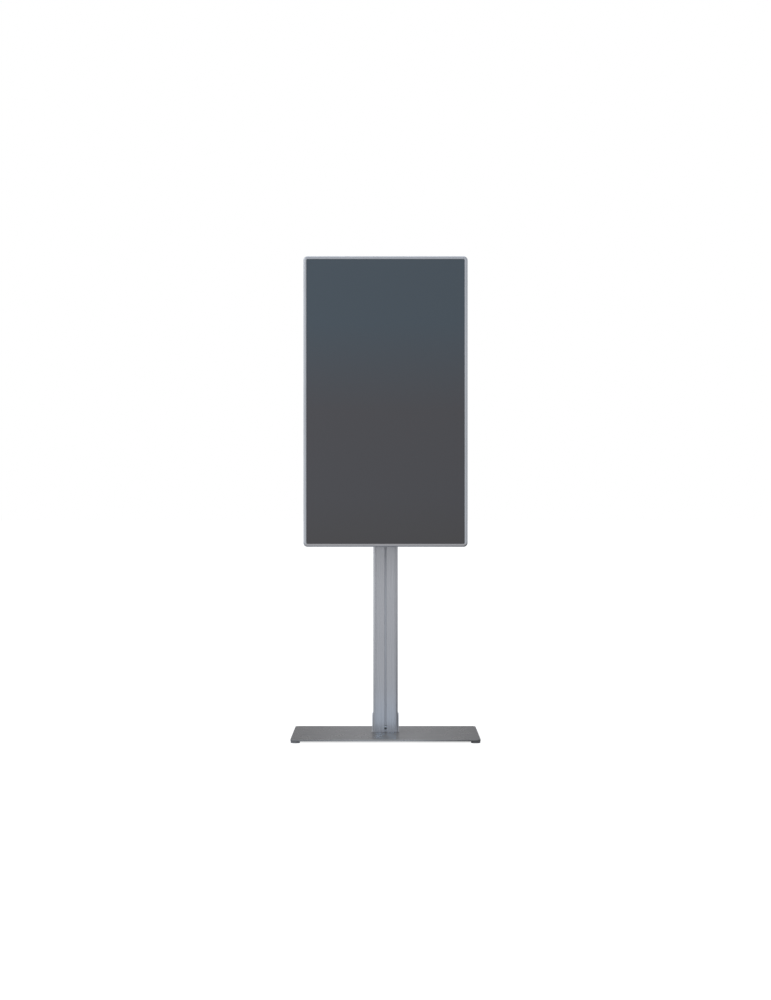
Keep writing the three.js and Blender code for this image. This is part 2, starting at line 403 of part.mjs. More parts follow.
  // rocker, switched on: lower end pressed in. It turns about X at its middle.
  const ry = HEAD_BACK - 4, rz = INLET.z + 13, tilt = 9 * Math.PI / 180;
  const rocker = [[-8.4, -3], [8.4, -3], [8.4, 7.2], [0, 6], [-8.4, 7.2]].map(([z, d]) =>
    [ry + d * Math.cos(tilt) + z * Math.sin(tilt), rz + z * Math.cos(tilt) - d * Math.sin(tilt)]);
  inHead('rocker_switch', slabX(poly(rocker), INLET.x - 10.6, INLET.x + 10.6), M.black);
  // standby button with a retaining flange behind the panel
  inHead('standby_button', turned([[0, 0], [8, 0], [8, 2.5], [6, 2.5], [6, 7.4], [5.4, 8], [0, 8]], '+y', [BUTTON.x, HEAD_BACK - SHEET - GAP - 2.5, BUTTON.z], 20), M.zinc);
  // block of data sockets: network, video, two serial bus
  let ports = block(PORTS.x - 45, PORTS.x + 45, HEAD_BACK - 20, HEAD_BACK - 0.3, PORTS.z - 8, PORTS.z + 8);
  const socket = (x, w, h) => block(PORTS.x + x - w / 2, PORTS.x + x + w / 2, HEAD_BACK - 13, HEAD_BACK + 3, PORTS.z - h / 2, PORTS.z + h / 2);
  ports = cut(ports, socket(-34, 12, 11), socket(-12, 15, 6), socket(12, 13.4, 6), socket(34, 13.4, 6));
  inHead('data_port_block', ports, M.zinc);

  // electronics on the tray
  const T = 21 + GAP;
  const board = (x0, x1, z0, z1, parts) => join(block(x0, x1, T, T + 4, z0, z1), ...parts.map(([a, b, c, d, h]) => block(a, b, T + 3, T + h, c, d)));
  inHead('power_supply', board(-165, 75, 250, 385, [[-150, -95, 265, 330, 34], [-80, -40, 270, 372, 26], [-25, 20, 262, 310, 30], [-25, 55, 325, 372, 22], [35, 62, 262, 310, 18]]), M.pcb);
  inHead('main_board', board(-150, 60, -190, -20, [[-80, -20, -140, -80, 20], [-140, -100, -180, -120, 12], [0, 45, -180, -150, 14], [-140, -60, -45, -30, 12]]), M.pcb);
  inHead('touch_controller', board(-50, 50, -600, -560, [[-30, 0, -592, -568, 9], [10, 40, -590, -582, 10]]), M.pcb);
  inHead('media_player', join(block(84, 248, T, T + 30, -470, -260), block(100, 232, T + 29, T + 33, -454, -276)), M.black);
  for (const [name, s] of [['left', -1], ['right', 1]]) {
    const [a, b] = [s * 140, s * 260].sort((p, q) => p - q);
    inHead(`speaker_${name}`, join(block(a, b, T, T + 17, -604, -554), block(a + 8, b - 8, T + 16, T + 20, -596, -562)), M.black);
  }
}

export default kiosk;
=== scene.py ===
import json
import math

import bmesh
import bpy
from mathutils import Matrix, Vector
from mathutils.geometry import tessellate_polygon


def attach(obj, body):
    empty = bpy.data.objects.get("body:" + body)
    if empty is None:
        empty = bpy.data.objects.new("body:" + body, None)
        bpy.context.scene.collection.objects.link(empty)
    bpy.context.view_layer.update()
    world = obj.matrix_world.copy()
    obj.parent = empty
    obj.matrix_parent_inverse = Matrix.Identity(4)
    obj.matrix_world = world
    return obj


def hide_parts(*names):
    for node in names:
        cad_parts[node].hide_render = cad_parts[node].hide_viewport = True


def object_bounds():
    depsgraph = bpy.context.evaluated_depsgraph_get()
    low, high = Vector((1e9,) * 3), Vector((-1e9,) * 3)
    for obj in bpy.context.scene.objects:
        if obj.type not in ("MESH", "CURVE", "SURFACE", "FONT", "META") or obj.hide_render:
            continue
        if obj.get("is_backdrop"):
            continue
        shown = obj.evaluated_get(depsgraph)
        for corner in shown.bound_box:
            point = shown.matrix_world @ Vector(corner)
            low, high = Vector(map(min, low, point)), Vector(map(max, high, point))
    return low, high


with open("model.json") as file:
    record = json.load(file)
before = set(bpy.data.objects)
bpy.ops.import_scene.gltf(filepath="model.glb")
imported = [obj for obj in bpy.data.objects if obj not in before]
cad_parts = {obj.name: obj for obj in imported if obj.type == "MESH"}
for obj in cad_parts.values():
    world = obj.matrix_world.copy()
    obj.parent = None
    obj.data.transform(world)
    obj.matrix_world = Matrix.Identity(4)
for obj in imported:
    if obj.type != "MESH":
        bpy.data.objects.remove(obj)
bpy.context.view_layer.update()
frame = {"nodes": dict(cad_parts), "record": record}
NODE = frame["nodes"]
MM = 0.001
HY, HZ = -134.0, 1462.0          # front face and middle of the head, mm
sc = bpy.context.scene
WORLD_L, WORLD_F, WORLD_R = 1.5, 1.0, 0.94      # studio light from the left, the front and the right
FLOOR_L, FLOOR_F, FLOOR_R = 0.54, 0.95, 0.04
FAR_L, FAR_F, FAR_R = 1.45, 1.0, 0.85
FLOOR_GLOW, FLOOR_DIFF, NEAR = 0.82, 0.32, 0.33

# --------------------------------------------------------------------------
# materials: every one is procedural, in object coordinates (the row frame)
# --------------------------------------------------------------------------


class Mat:
    """A Principled material with a few helpers for noise-driven inputs."""

    def __init__(self, name, color, metallic=0.0, rough=0.5, **fixed):
        self.m = bpy.data.materials.new(name)
        self.m.use_nodes = True
        self.nt = self.m.node_tree
        self.b = self.nt.nodes["Principled BSDF"]
        self.color = color
        self.b.inputs["Base Color"].default_value = (*color, 1)
        self.b.inputs["Metallic"].default_value = metallic
        self.b.inputs["Roughness"].default_value = rough
        for k, v in fixed.items():
            self.b.inputs[k.replace("_", " ")].default_value = v
        self.tc = self.nt.nodes.new("ShaderNodeTexCoord")
        self.last_normal = None

    def node(self, kind, **props):
        n = self.nt.nodes.new(kind)
        for k, v in props.items():
            setattr(n, k, v)
        return n

    def link(self, a, b):
        self.nt.links.new(a, b)

    def mapped(self, scale, rot=(0, 0, 0)):
        mp = self.node("ShaderNodeMapping")
        mp.inputs["Scale"].default_value = scale
        mp.inputs["Rotation"].default_value = rot
        self.link(self.tc.outputs["Object"], mp.inputs["Vector"])
        return mp.outputs["Vector"]

    def noise(self, scale, detail=3.0, rough=0.55, stretch=(1, 1, 1), distortion=0.0):
        n = self.node("ShaderNodeTexNoise")
        n.inputs["Scale"].default_value = scale
        n.inputs["Detail"].default_value = detail
        n.inputs["Roughness"].default_value = rough
        n.inputs["Distortion"].default_value = distortion
        self.link(self.mapped(stretch), n.inputs["Vector"])
        return n.outputs["Fac"]

    def voronoi(self, scale, feature="F1", stretch=(1, 1, 1), out="Distance"):
        n = self.node("ShaderNodeTexVoronoi", feature=feature)
        n.inputs["Scale"].default_value = scale
        self.link(self.mapped(stretch), n.inputs["Vector"])
        return n.outputs[out]

    def range(self, value, lo, hi, to_lo, to_hi):
        n = self.node("ShaderNodeMapRange")
        n.inputs["From Min"].default_value = lo
        n.inputs["From Max"].default_value = hi
        n.inputs["To Min"].default_value = to_lo
        n.inputs["To Max"].default_value = to_hi
        self.link(value, n.inputs["Value"])
        return n.outputs["Result"]

    def mix(self, fac, a, b):
        n = self.node("ShaderNodeMix", data_type="RGBA")
        self.link(fac, n.inputs["Factor"])
        for key, c in (("A", a), ("B", b)):
            sock = [s for s in n.inputs if s.name == key and s.type == "RGBA"][0]
            if isinstance(c, tuple):
                sock.default_value = (*c, 1)
            else:
                self.link(c, sock)
        return [s for s in n.outputs if s.type == "RGBA"][0]

    def tint(self, fac, spread, base=None):
        """Base Color swings round its own value by +-spread as fac goes from 0.3 to 0.7."""
        c = self.color if base is None else base
        lo = tuple(max(0.0, x * (1 - spread)) for x in c)
        hi = tuple(min(1.0, x * (1 + spread)) for x in c)
        out = self.mix(self.range(fac, 0.3, 0.7, 0, 1), lo, hi)
        self.link(out, self.b.inputs["Base Color"])
        return out

    def rough(self, fac, lo, hi):
        self.link(self.range(fac, 0.3, 0.7, lo, hi), self.b.inputs["Roughness"])

    def bump(self, height, strength, distance_mm):
        n = self.node("ShaderNodeBump")
        n.inputs["Strength"].default_value = strength
        n.inputs["Distance"].default_value = distance_mm * MM
        self.link(height, n.inputs["Height"])
        if self.last_normal is not None:
            self.link(self.last_normal, n.inputs["Normal"])
        self.last_normal = n.outputs["Normal"]
        self.link(self.last_normal, self.b.inputs["Normal"])


def anodised(name, color, axis, lo=0.30, hi=0.38, grain=1.0, metal=0.85):
    """Natural anodised extrusion: fine die lines along one axis, matt etch, faint cloudiness."""
    m = Mat(name, color, metallic=metal, rough=0.4, Anisotropic=0.75, Specular_IOR_Level=0.2)
    tan = m.node("ShaderNodeTangent", direction_type="RADIAL", axis=axis.upper())
    m.link(tan.outputs["Tangent"], m.b.inputs["Tangent"])
    along = [2600.0, 2600.0, 2600.0]
    along["xyz".index(axis)] = 5.0
    lines = m.noise(1.0, 2.0, 0.6, tuple(along))
    etch = m.noise(3800.0, 2.0, 0.5)
    cloud = m.noise(3.5, 3.0, 0.5)
    m.tint(cloud, 0.035)
    m.rough(lines, lo, hi)
    m.bump(lines, 0.05 * grain, 0.03)
    m.bump(etch, 0.04, 0.03)
    return m.m


def powder(name, color, rough=0.5, metallic=0.0, peel=900.0, depth=0.12, flake=0.0, spread=0.04, painted_end_shade=0.0, **fixed):
    """Powder coat: orange peel and fine grit, with faint cloudiness and, if asked, metal flake and a painted shade that
    darkens it towards its ends along x.
    """
    m = Mat(name, color, metallic=metallic, rough=rough, **fixed)
    cloud = m.noise(5.0, 4.0, 0.6)
    col = m.tint(cloud, spread)
    # painted shade: the colour darkens towards both ends along x
    if painted_end_shade:
        sep = m.node("ShaderNodeSeparateXYZ")
        m.link(m.tc.outputs["Object"], sep.inputs["Vector"])
        ab = m.node("ShaderNodeMath", operation="ABSOLUTE")
        m.link(sep.outputs["X"], ab.inputs[0])
        f = m.range(ab.outputs[0], 0.12, 0.40, 0.0, 1.0)
        col = m.mix(f, col, tuple(x * (1 - painted_end_shade) for x in color))
        m.link(col, m.b.inputs["Base Color"])
    if flake:
        cells = m.voronoi(2600.0, out="Color")
        sep = m.node("ShaderNodeSeparateColor")
        m.link(cells, sep.inputs["Color"])
        f = m.range(sep.outputs["Red"], 0.55, 1.0, 0.0, flake)
        m.link(m.mix(f, col, tuple(min(1.0, x * 2.2) for x in color)), m.b.inputs["Base Color"])
    peel_n = m.noise(peel, 3.0, 0.55)
    grit = m.noise(peel * 3.6, 2.0, 0.5)
    m.rough(m.noise(14.0, 4.0, 0.6), rough - 0.05, rough + 0.05)
    m.bump(peel_n, 0.25, depth)
    m.bump(grit, 0.18, depth * 0.35)
    return m.m


def plastic(name, color, rough=0.5, grain=1400.0, depth=0.05, **fixed):
    m = Mat(name, color, rough=rough, **fixed)
    m.tint(m.noise(9.0, 3.0), 0.05)
    m.rough(m.noise(30.0, 3.0), rough - 0.06, rough + 0.06)
    m.bump(m.voronoi(grain), 0.2, depth)
    return m.m


def plated(name, color, lo=0.22, hi=0.4):
    """Zinc or nickel plate: faint spangle, fine scratches."""
    m = Mat(name, color, metallic=1.0, rough=0.32)
    m.tint(m.noise(55.0, 3.0, 0.6), 0.09)
    m.rough(m.noise(420.0, 3.0, 0.6), lo, hi)
    m.bump(m.noise(1.0, 2.0, 0.5, (900.0, 2600.0, 900.0)), 0.05, 0.03)
    m.bump(m.noise(2400.0, 2.0), 0.05, 0.02)
    return m.m


def satin(name, color, lo, hi, metallic=0.0, scale=700.0, depth=0.03):
    m = Mat(name, color, metallic=metallic, rough=(lo + hi) / 2)
    m.tint(m.noise(20.0, 3.0), 0.08)
    m.rough(m.noise(scale, 3.0), lo, hi)
    m.bump(m.noise(scale * 2, 2.0), 0.12, depth)
    return m.m


def dark_glass(name):
    """Toughened glass over a switched-off screen: black, polished, with a painted reflection that makes it faintly
    cooler towards its top and a little darker towards its bottom, wiped-dry haze.
    """
    # top, mid and low colours: a painted reflection, cooler towards the top and a little darker towards the bottom
    top, mid, low = (0.030, 0.048, 0.066), (0.037, 0.0375, 0.045), (0.035, 0.034, 0.0375)
    m = Mat(name, mid, rough=0.06, Specular_IOR_Level=0.5, Coat_Weight=0.0)
    sep = m.node("ShaderNodeSeparateXYZ")
    m.link(m.tc.outputs["Object"], sep.inputs["Vector"])
    painted_reflection_up = m.range(sep.outputs["Z"], 1.42, 1.80, 0.0, 1.0)
    painted_reflection_down = m.range(sep.outputs["Z"], 1.05, 0.85, 0.0, 1.0)
    col = m.mix(painted_reflection_up, mid, top)
    col = m.mix(painted_reflection_down, col, low)
    # sensor grid: hair-fine lines every 6 mm, barely darker than the glass
    grid = None
    for axis in ("X", "Z"):
        w = m.node("ShaderNodeMath", operation="PINGPONG")
        m.link(sep.outputs[axis], w.inputs[0])
        w.inputs[1].default_value = 0.003
        line = m.range(w.outputs[0], 0.0, 0.00022, 1.0, 0.0)
        if grid is None:
            grid = line
        else:
            mx = m.node("ShaderNodeMath", operation="MAXIMUM")
            m.link(grid, mx.inputs[0]); m.link(line, mx.inputs[1])
            grid = mx.outputs[0]
    soft = m.range(grid, 0.0, 1.0, 0.0, 0.06)
    m.link(m.mix(soft, col, (0.01, 0.012, 0.014)), m.b.inputs["Base Color"])
    smear = m.noise(7.0, 5.0, 0.62, (1.0, 1.0, 0.45), 0.8)
    m.link(m.range(smear, 0.35, 0.8, 0.045, 0.105), m.b.inputs["Roughness"])
    m.bump(m.noise(3.0, 1.0), 0.02, 0.15)
    return m.m


def board_green(name):
    m = Mat(name, (0.012, 0.085, 0.035), rough=0.35, Coat_Weight=0.3)
    tracks = m.node("ShaderNodeTexBrick")
    tracks.inputs["Scale"].default_value = 180.0
    tracks.inputs["Mortar Size"].default_value = 0.03
    tracks.inputs["Color1"].default_value = (0.012, 0.085, 0.035, 1)
    tracks.inputs["Color2"].default_value = (0.014, 0.10, 0.042, 1)
    tracks.inputs["Mortar"].default_value = (0.03, 0.17, 0.07, 1)
    mp = m.node("ShaderNodeMapping")
    mp.inputs["Rotation"].default_value = (math.radians(90), 0, 0)
    m.link(m.tc.outputs["Object"], mp.inputs["Vector"])
    m.link(mp.outputs["Vector"], tracks.inputs["Vector"])
    m.link(tracks.outputs["Color"], m.b.inputs["Base Color"])
    m.rough(m.noise(120.0), 0.28, 0.42)
    m.bump(tracks.outputs["Fac"], 0.2, 0.03)
    return m.m


def screen_stack(name, color, rough):
    m = Mat(name, color, rough=rough)
    m.tint(m.noise(6.0), 0.04)
    m.rough(m.noise(60.0), rough * 0.8, rough * 1.2)
    m.bump(m.noise(1600.0), 0.04, 0.02)
    return m.m


MAT = {
    "frame_x": anodised("frame_alu_x", (0.375, 0.392, 0.425), "x"),
    # a darker, less blue copy of the frame aluminium for the bottom rail: painted shade
    "frame_bottom_shade": anodised("frame_alu_bottom_shade", (0.346, 0.340, 0.352), "x"),
    "frame_z": anodised("frame_alu_z", (0.375, 0.392, 0.425), "z"),
    "column": anodised("column_alu", (0.372, 0.379, 0.405), "z", 0.24, 0.30, metal=0.55),
    # the base gets a painted shade, darker towards both ends along x
    "base": powder("base_powder", (0.335, 0.333, 0.337), rough=0.30, metallic=0.78, peel=620.0, depth=0.04, flake=0.08, spread=0.03, painted_end_shade=0.34, Specular_Tint=(0.325, 0.318, 0.318, 1), Specular_IOR_Level=0.0),
    "cheek": powder("cheek_powder", (0.50, 0.515, 0.54), rough=0.42, metallic=0.3, peel=800.0, depth=0.06, flake=0.08),
    "strip": plastic("slot_grey", (0.31, 0.322, 0.352), 0.5, 1800.0, 0.03),
    "cap": plastic("cap_grey", (0.25, 0.257, 0.27), 0.55, 1200.0, 0.05),
    "black_oxide": satin("black_oxide", (0.05, 0.051, 0.054), 0.3, 0.5, metallic=0.5),
    "glide": plastic("glide_rubber", (0.17, 0.17, 0.178), 0.62, 900.0, 0.06),
    "rubber": plastic("grommet_rubber", (0.02, 0.02, 0.021), 0.75, 1100.0, 0.06),
    "glass": dark_glass("screen_glass"),
    "paint_dark": powder("head_powder", (0.042, 0.044, 0.048), rough=0.55, peel=760.0, depth=0.12, spread=0.07),
    "paint_black": powder("bracket_powder", (0.022, 0.022, 0.024), rough=0.5, peel=900.0, depth=0.12, spread=0.08),
    "zinc": plated("zinc_plate", (0.50, 0.515, 0.535)),
    "nickel": plated("nickel_plate", (0.62, 0.6, 0.56), 0.14, 0.3),
    "zinc_die": plated("zinc_die", (0.36, 0.37, 0.395), 0.35, 0.5),
    "steel": plated("bare_steel", (0.48, 0.48, 0.48), 0.3, 0.5),
    "black": plastic("black_plastic", (0.018, 0.018, 0.019), 0.42, 1500.0, 0.04),
    "black_soft": plastic("black_foam", (0.012, 0.012, 0.012), 0.9, 2200.0, 0.12),
    "pcb": board_green("solder_mask"),
    "white": screen_stack("diffuser_white", (0.74, 0.74, 0.72), 0.45),
    "clear": screen_stack("guide_acrylic", (0.62, 0.66, 0.68), 0.12),
    "film": screen_stack("sensor_film", (0.045, 0.05, 0.055), 0.2),
    "panel": screen_stack("panel_glass", (0.012, 0.012, 0.015), 0.12),
    "gold": plated("contact_gold", (0.75, 0.55, 0.22), 0.15, 0.3),
    "dark_hole": plastic("deep_black", (0.004, 0.004, 0.004), 0.8, 1500.0, 0.04),
}

# --------------------------------------------------------------------------
# shapes (mm in, metres out)
# --------------------------------------------------------------------------
XY = Matrix.Identity(4)
XZ = Matrix(((1, 0, 0, 0), (0, 0, -1, 0), (0, 1, 0, 0), (0, 0, 0, 1)))    # (x, z) outline, depth along Y
YZ = Matrix(((0, 0, 1, 0), (1, 0, 0, 0), (0, 1, 0, 0), (0, 0, 0, 1)))     # (y, z) outline, depth along X
HEAD = Vector((0, HY, HZ))
ROW = Vector((0, 0, 0))


def rrect(w, h, r, n=10, cx=0.0, cy=0.0):
    out = []
    for x, y, a0 in ((w / 2 - r, h / 2 - r, 0), (-w / 2 + r, h / 2 - r, 90), (-w / 2 + r, -h / 2 + r, 180), (w / 2 - r, -h / 2 + r, 270)):
        for i in range(n + 1):
            a = math.radians(a0 + 90 * i / n)
            out.append((cx + x + r * math.cos(a), cy + y + r * math.sin(a)))
    return out


def box2(x0, y0, x1, y1, r=0.3, n=3):
    return rrect(x1 - x0, y1 - y0, r, n, (x0 + x1) / 2, (y0 + y1) / 2)


def circle(r, n=40, cx=0.0, cy=0.0, a0=0.0):
    return [(cx + r * math.cos(a0 + 2 * math.pi * i / n), cy + r * math.sin(a0 + 2 * math.pi * i / n)) for i in range(n)]


def fillet(pts, radius, n=5, closed=True):
    """Rounds the corners of a polyline. radius is one number or one per point."""
    out, k = [], len(pts)
    for i, p in enumerate(pts):
        r = radius[i] if isinstance(radius, (list, tuple)) else radius
        if r <= 0 or (not closed and i in (0, k - 1)):
            out.append(tuple(p)); continue
        a, b, c = Vector(pts[i - 1]), Vector(p), Vector(pts[(i + 1) % k])
        u, v = (a - b), (c - b)
        lu, lv = u.length, v.length
        u.normalize(); v.normalize()
        half = math.acos(max(-1, min(1, u.dot(v)))) / 2
        if abs(half - math.pi / 2) < 0.01:
            out.append(tuple(p)); continue
        t = min(r / math.tan(half), lu * 0.49, lv * 0.49)
        rr = t * math.tan(half)
        mid = (u + v).normalized()
        centre = b + mid * (rr / math.sin(half))
        s, e = b + u * t - centre, b + v * t - centre
        ang = math.atan2(s.x * e.y - s.y * e.x, s.dot(e))
        for j in range(n + 1):
            w = ang * j / n
            out.append((centre.x + s.x * math.cos(w) - s.y * math.sin(w), centre.y + s.x * math.sin(w) + s.y * math.cos(w)))
    return out


class Piece:
    """Collects closed shells, each with its material, and makes one object of them."""

    def __init__(self, off=ROW):
        self.bm = bmesh.new()
        self.mats = []
        self.off = off

    def _index(self, mat):
        if mat not in self.mats:
            self.mats.append(mat)
        return self.mats.index(mat)

    def take(self, me, mat, matrix=None):
        m = Matrix.Translation(self.off * MM) @ (matrix or Matrix.Identity(4))
        me.transform(m)
        bm = bmesh.new(); bm.from_mesh(me)
        bmesh.ops.remove_doubles(bm, verts=bm.verts, dist=1.5e-6)
        bmesh.ops.recalc_face_normals(bm, faces=bm.faces)
        i = self._index(mat)
        for f in bm.faces:
            f.material_index = i
        bm.to_mesh(me); bm.free()
        self.bm.from_mesh(me)
        bpy.data.meshes.remove(me)
        return self

    def plate(self, mat, outer, holes, lo, hi, bevel=0.4, plane=XZ, res=2):
        """A flat plate between lo and hi along the plane's depth, with rounded edges."""
        t = hi - lo
        b = min(bevel, t / 2 - 0.01)
        cu = bpy.data.curves.new("tmp", "CURVE")
        cu.dimensions, cu.fill_mode = "2D", "BOTH"
        cu.extrude, cu.bevel_depth, cu.bevel_resolution, cu.offset = (t / 2 - b) * MM, b * MM, res, -b * MM
        for loop in [outer, *holes]:
            sp = cu.splines.new("POLY")
            sp.points.add(len(loop) - 1)
            for p, (x, y) in zip(sp.points, loop):
                p.co = (x * MM, y * MM, 0, 1)
            sp.use_cyclic_u = True
        ob = bpy.data.objects.new("tmp", cu)
        sc.collection.objects.link(ob)
        dg = bpy.context.evaluated_depsgraph_get()
        dg.update()
        me = bpy.data.meshes.new_from_object(ob.evaluated_get(dg))
        bpy.data.objects.remove(ob)
        bpy.data.curves.remove(cu)
        me.materials.clear()
        mid = (lo + hi) / 2 * MM
        shift = Matrix.Translation({id(XY): (0, 0, mid), id(XZ): (0, mid, 0), id(YZ): (mid, 0, 0)}[id(plane)])
        return self.take(me, mat, shift @ plane)

    def raw(self, mat, verts, faces, matrix=None):
        me = bpy.data.meshes.new("tmp")
        me.from_pydata([tuple(c * MM for c in v) for v in verts], [], faces)
        me.validate()
        return self.take(me, mat, matrix)

    def lathe(self, mat, prof, axis, at, n=48):
        """Turned closed solid: prof is (radius, height) from the axis to the axis."""
        verts, rings = [], []
        for r, h in prof:
            if r < 1e-6:
                rings.append([len(verts)]); verts.append((0, 0, h))
            else:
                rings.append(list(range(len(verts), len(verts) + n)))
                verts += [(r * math.cos(2 * math.pi * i / n), r * math.sin(2 * math.pi * i / n), h) for i in range(n)]
        faces = []
        for a, b in zip(rings, rings[1:]):
            if len(a) == 1 and len(b) == 1:
                continue
            for i in range(n):
                j = (i + 1) % n
                if len(a) == 1:
                    faces.append((a[0], b[i], b[j]))
                elif len(b) == 1:
                    faces.append((a[i], a[j], b[0]))
                else:
                    faces.append((a[i], a[j], b[j], b[i]))
        rot = {"+z": Matrix.Identity(4), "-z": Matrix.Rotation(math.pi, 4, "X"), "+y": Matrix.Rotation(-math.pi / 2, 4, "X"), "-y": Matrix.Rotation(math.pi / 2, 4, "X"),
               "+x": Matrix.Rotation(math.pi / 2, 4, "Y"), "-x": Matrix.Rotation(-math.pi / 2, 4, "Y")}[axis]
        return self.raw(mat, verts, faces, Matrix.Translation(Vector(at) * MM) @ rot)

    def box(self, mat, lo, hi, bevel=0.4, seg=2, matrix=None):
        lo, hi = Vector(lo), Vector(hi)
        bm = bmesh.new()
        bmesh.ops.create_cube(bm, size=1.0)
        for v in bm.verts:
            v.co = Vector([(lo[k] + hi[k]) / 2 + v.co[k] * (hi[k] - lo[k]) for k in range(3)]) * MM
        b = min(bevel, min(hi - lo) * 0.45)
        if b > 0.01:
            bmesh.ops.bevel(bm, geom=list(bm.edges), offset=b * MM, segments=seg, profile=0.5, affect="EDGES")
        me = bpy.data.meshes.new("tmp")
        bm.to_mesh(me); bm.free()
        return self.take(me, mat, matrix)

    def cut(self, *cutters):
        """Boolean difference with other pieces, in place."""
        me = bpy.data.meshes.new("cutting")
        self.bm.to_mesh(me); self.bm.free()
        for m in self.mats:
            me.materials.append(m)
        ob = bpy.data.objects.new("cutting", me)
        sc.collection.objects.link(ob)
        extra = []
        for c in cutters:
            cm = bpy.data.meshes.new("cutter")
            c.bm.to_mesh(cm); c.bm.free()
            co = bpy.data.objects.new("cutter", cm)
            sc.collection.objects.link(co)
            extra.append(co)
            mod = ob.modifiers.new("cut", "BOOLEAN")
            mod.operation, mod.solver, mod.object = "DIFFERENCE", "EXACT", co
        dg = bpy.context.evaluated_depsgraph_get()
        dg.update()
        out = bpy.data.meshes.new_from_object(ob.evaluated_get(dg))
        bpy.data.objects.remove(ob)
        for co in extra:
            bpy.data.objects.remove(co)
        self.bm = bmesh.new(); self.bm.from_mesh(out)
        bpy.data.meshes.remove(out)
        return self

    def done(self, name, body, *nodes, slot=None, sharp=32):
        me = bpy.data.meshes.new(name)
        self.bm.to_mesh(me); self.bm.free()
        for m in self.mats:
            me.materials.append(m)
        me.polygons.foreach_set("use_smooth", [True] * len(me.polygons))
        me.set_sharp_from_angle(angle=math.radians(sharp))
        ob = bpy.data.objects.new(name, me)
        sc.collection.objects.link(ob)
        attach(ob, body)
        if nodes:
            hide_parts(*nodes)
        return ob


def sweep_loop(loops, closed_path=True):
    """Faces of a tube whose cross-sections are equal-length closed rings of points."""
    verts, faces = [], []
    k = len(loops[0])
    for ring in loops:
        verts += ring
    m = len(loops)
    for i in range(m if closed_path else m - 1):
        a, b = i * k, ((i + 1) % m) * k
        for j in range(k):
            j2 = (j + 1) % k
            faces.append((a + j, a + j2, b + j2, b + j))
    return verts, faces


def cap(ring2d, start, flip):
    """Triangles that close a ring of vertices, from its 2D outline."""
    tris = tessellate_polygon([[Vector((x, y, 0)) for x, y in ring2d]])
    return [tuple(start + i for i in (reversed(t) if flip else t)) for t in tris]


# --------------------------------------------------------------------------
# camera, floor, light
# --------------------------------------------------------------------------
cam_data = bpy.data.cameras.new("camera")
cam_data.lens, cam_data.sensor_width, cam_data.shift_y = 69.0, 36.0, 0.0015
cam = bpy.data.objects.new("camera", cam_data)
cam.location, cam.rotation_euler = (0.0, -8.41, 1.03), (math.radians(90), 0, 0)
cam_data.clip_end = 100
sc.collection.objects.link(cam)
sc.camera = cam

sc.view_settings.view_transform = "Standard"
sc.view_settings.look = "None"

world = bpy.data.worlds.new("studio")
world.use_nodes = True
sc.world = world


def side_light(nt, x_out, left, front, right):
    """Light that falls off from the left of the studio to its right."""
    a = nt.nodes.new("ShaderNodeMapRange")
    a.interpolation_type = "SMOOTHSTEP"
    nt.links.new(x_out, a.inputs["Value"])
    for k, v in (("From Min", 0.15), ("From Max", 0.9), ("To Min", front), ("To Max", right)):
        a.inputs[k].default_value = v
    b = nt.nodes.new("ShaderNodeMapRange")
    b.interpolation_type = "SMOOTHSTEP"
    nt.links.new(x_out, b.inputs["Value"])
    for k, v in (("From Min", -0.9), ("From Max", -0.15), ("To Min", left / front), ("To Max", 1.0)):
        b.inputs[k].default_value = v
    m = nt.nodes.new("ShaderNodeMath")
    m.operation = "MULTIPLY"
    nt.links.new(a.outputs["Result"], m.inputs[0])
    nt.links.new(b.outputs["Result"], m.inputs[1])
    return m.outputs[0]


def ramp2(nt, value, lo, hi, c_lo, c_hi):
    r = nt.nodes.new("ShaderNodeMapRange")
    r.interpolation_type = "SMOOTHSTEP"
    nt.links.new(value, r.inputs["Value"])
    r.inputs["From Min"].default_value, r.inputs["From Max"].default_value = lo, hi
    mx = nt.nodes.new("ShaderNodeMix")
    mx.data_type = "RGBA"
    nt.links.new(r.outputs["Result"], mx.inputs["Factor"])
    rgba = [s for s in mx.inputs if s.type == "RGBA"]
    rgba[0].default_value, rgba[1].default_value = (*c_lo, 1), (*c_hi, 1)
    return [s for s in mx.outputs if s.type == "RGBA"][0]


wn = world.node_tree
bg = wn.nodes["Background"]
out_w = wn.nodes["World Output"]
tc = wn.nodes.new("ShaderNodeTexCoord")
sx = wn.nodes.new("ShaderNodeSeparateXYZ")
wn.links.new(tc.outputs["Generated"], sx.inputs["Vector"])
wn.links.new(ramp2(wn, sx.outputs["Z"], 0.05, 0.6, (1.0, 1.0, 1.0), (0.84, 0.88, 0.94)), bg.inputs["Color"])
wn.links.new(side_light(wn, sx.outputs["X"], WORLD_L, WORLD_F, WORLD_R), bg.inputs["Strength"])
white = wn.nodes.new("ShaderNodeBackground")
white.inputs["Color"].default_value = (1, 1, 1, 1)
lp = wn.nodes.new("ShaderNodeLightPath")
mixw = wn.nodes.new("ShaderNodeMixShader")
wn.links.new(lp.outputs["Is Camera Ray"], mixw.inputs[0])
wn.links.new(bg.outputs[0], mixw.inputs[1])
wn.links.new(white.outputs[0], mixw.inputs[2])
wn.links.new(mixw.outputs[0], out_w.inputs["Surface"])


def area(name, loc, target, size, power, color=(1, 1, 1), spread=180):
    d = bpy.data.lights.new(name, "AREA")
    d.shape, d.size, d.size_y, d.energy, d.color = "RECTANGLE", size[0], size[1], power, color
    d.spread = math.radians(spread)
    o = bpy.data.objects.new(name, d)
    o.visible_camera = False
    o.location = loc
    o.rotation_euler = (Vector(target) - Vector(loc)).to_track_quat("-Z", "Y").to_euler()
    sc.collection.objects.link(o)
    return o


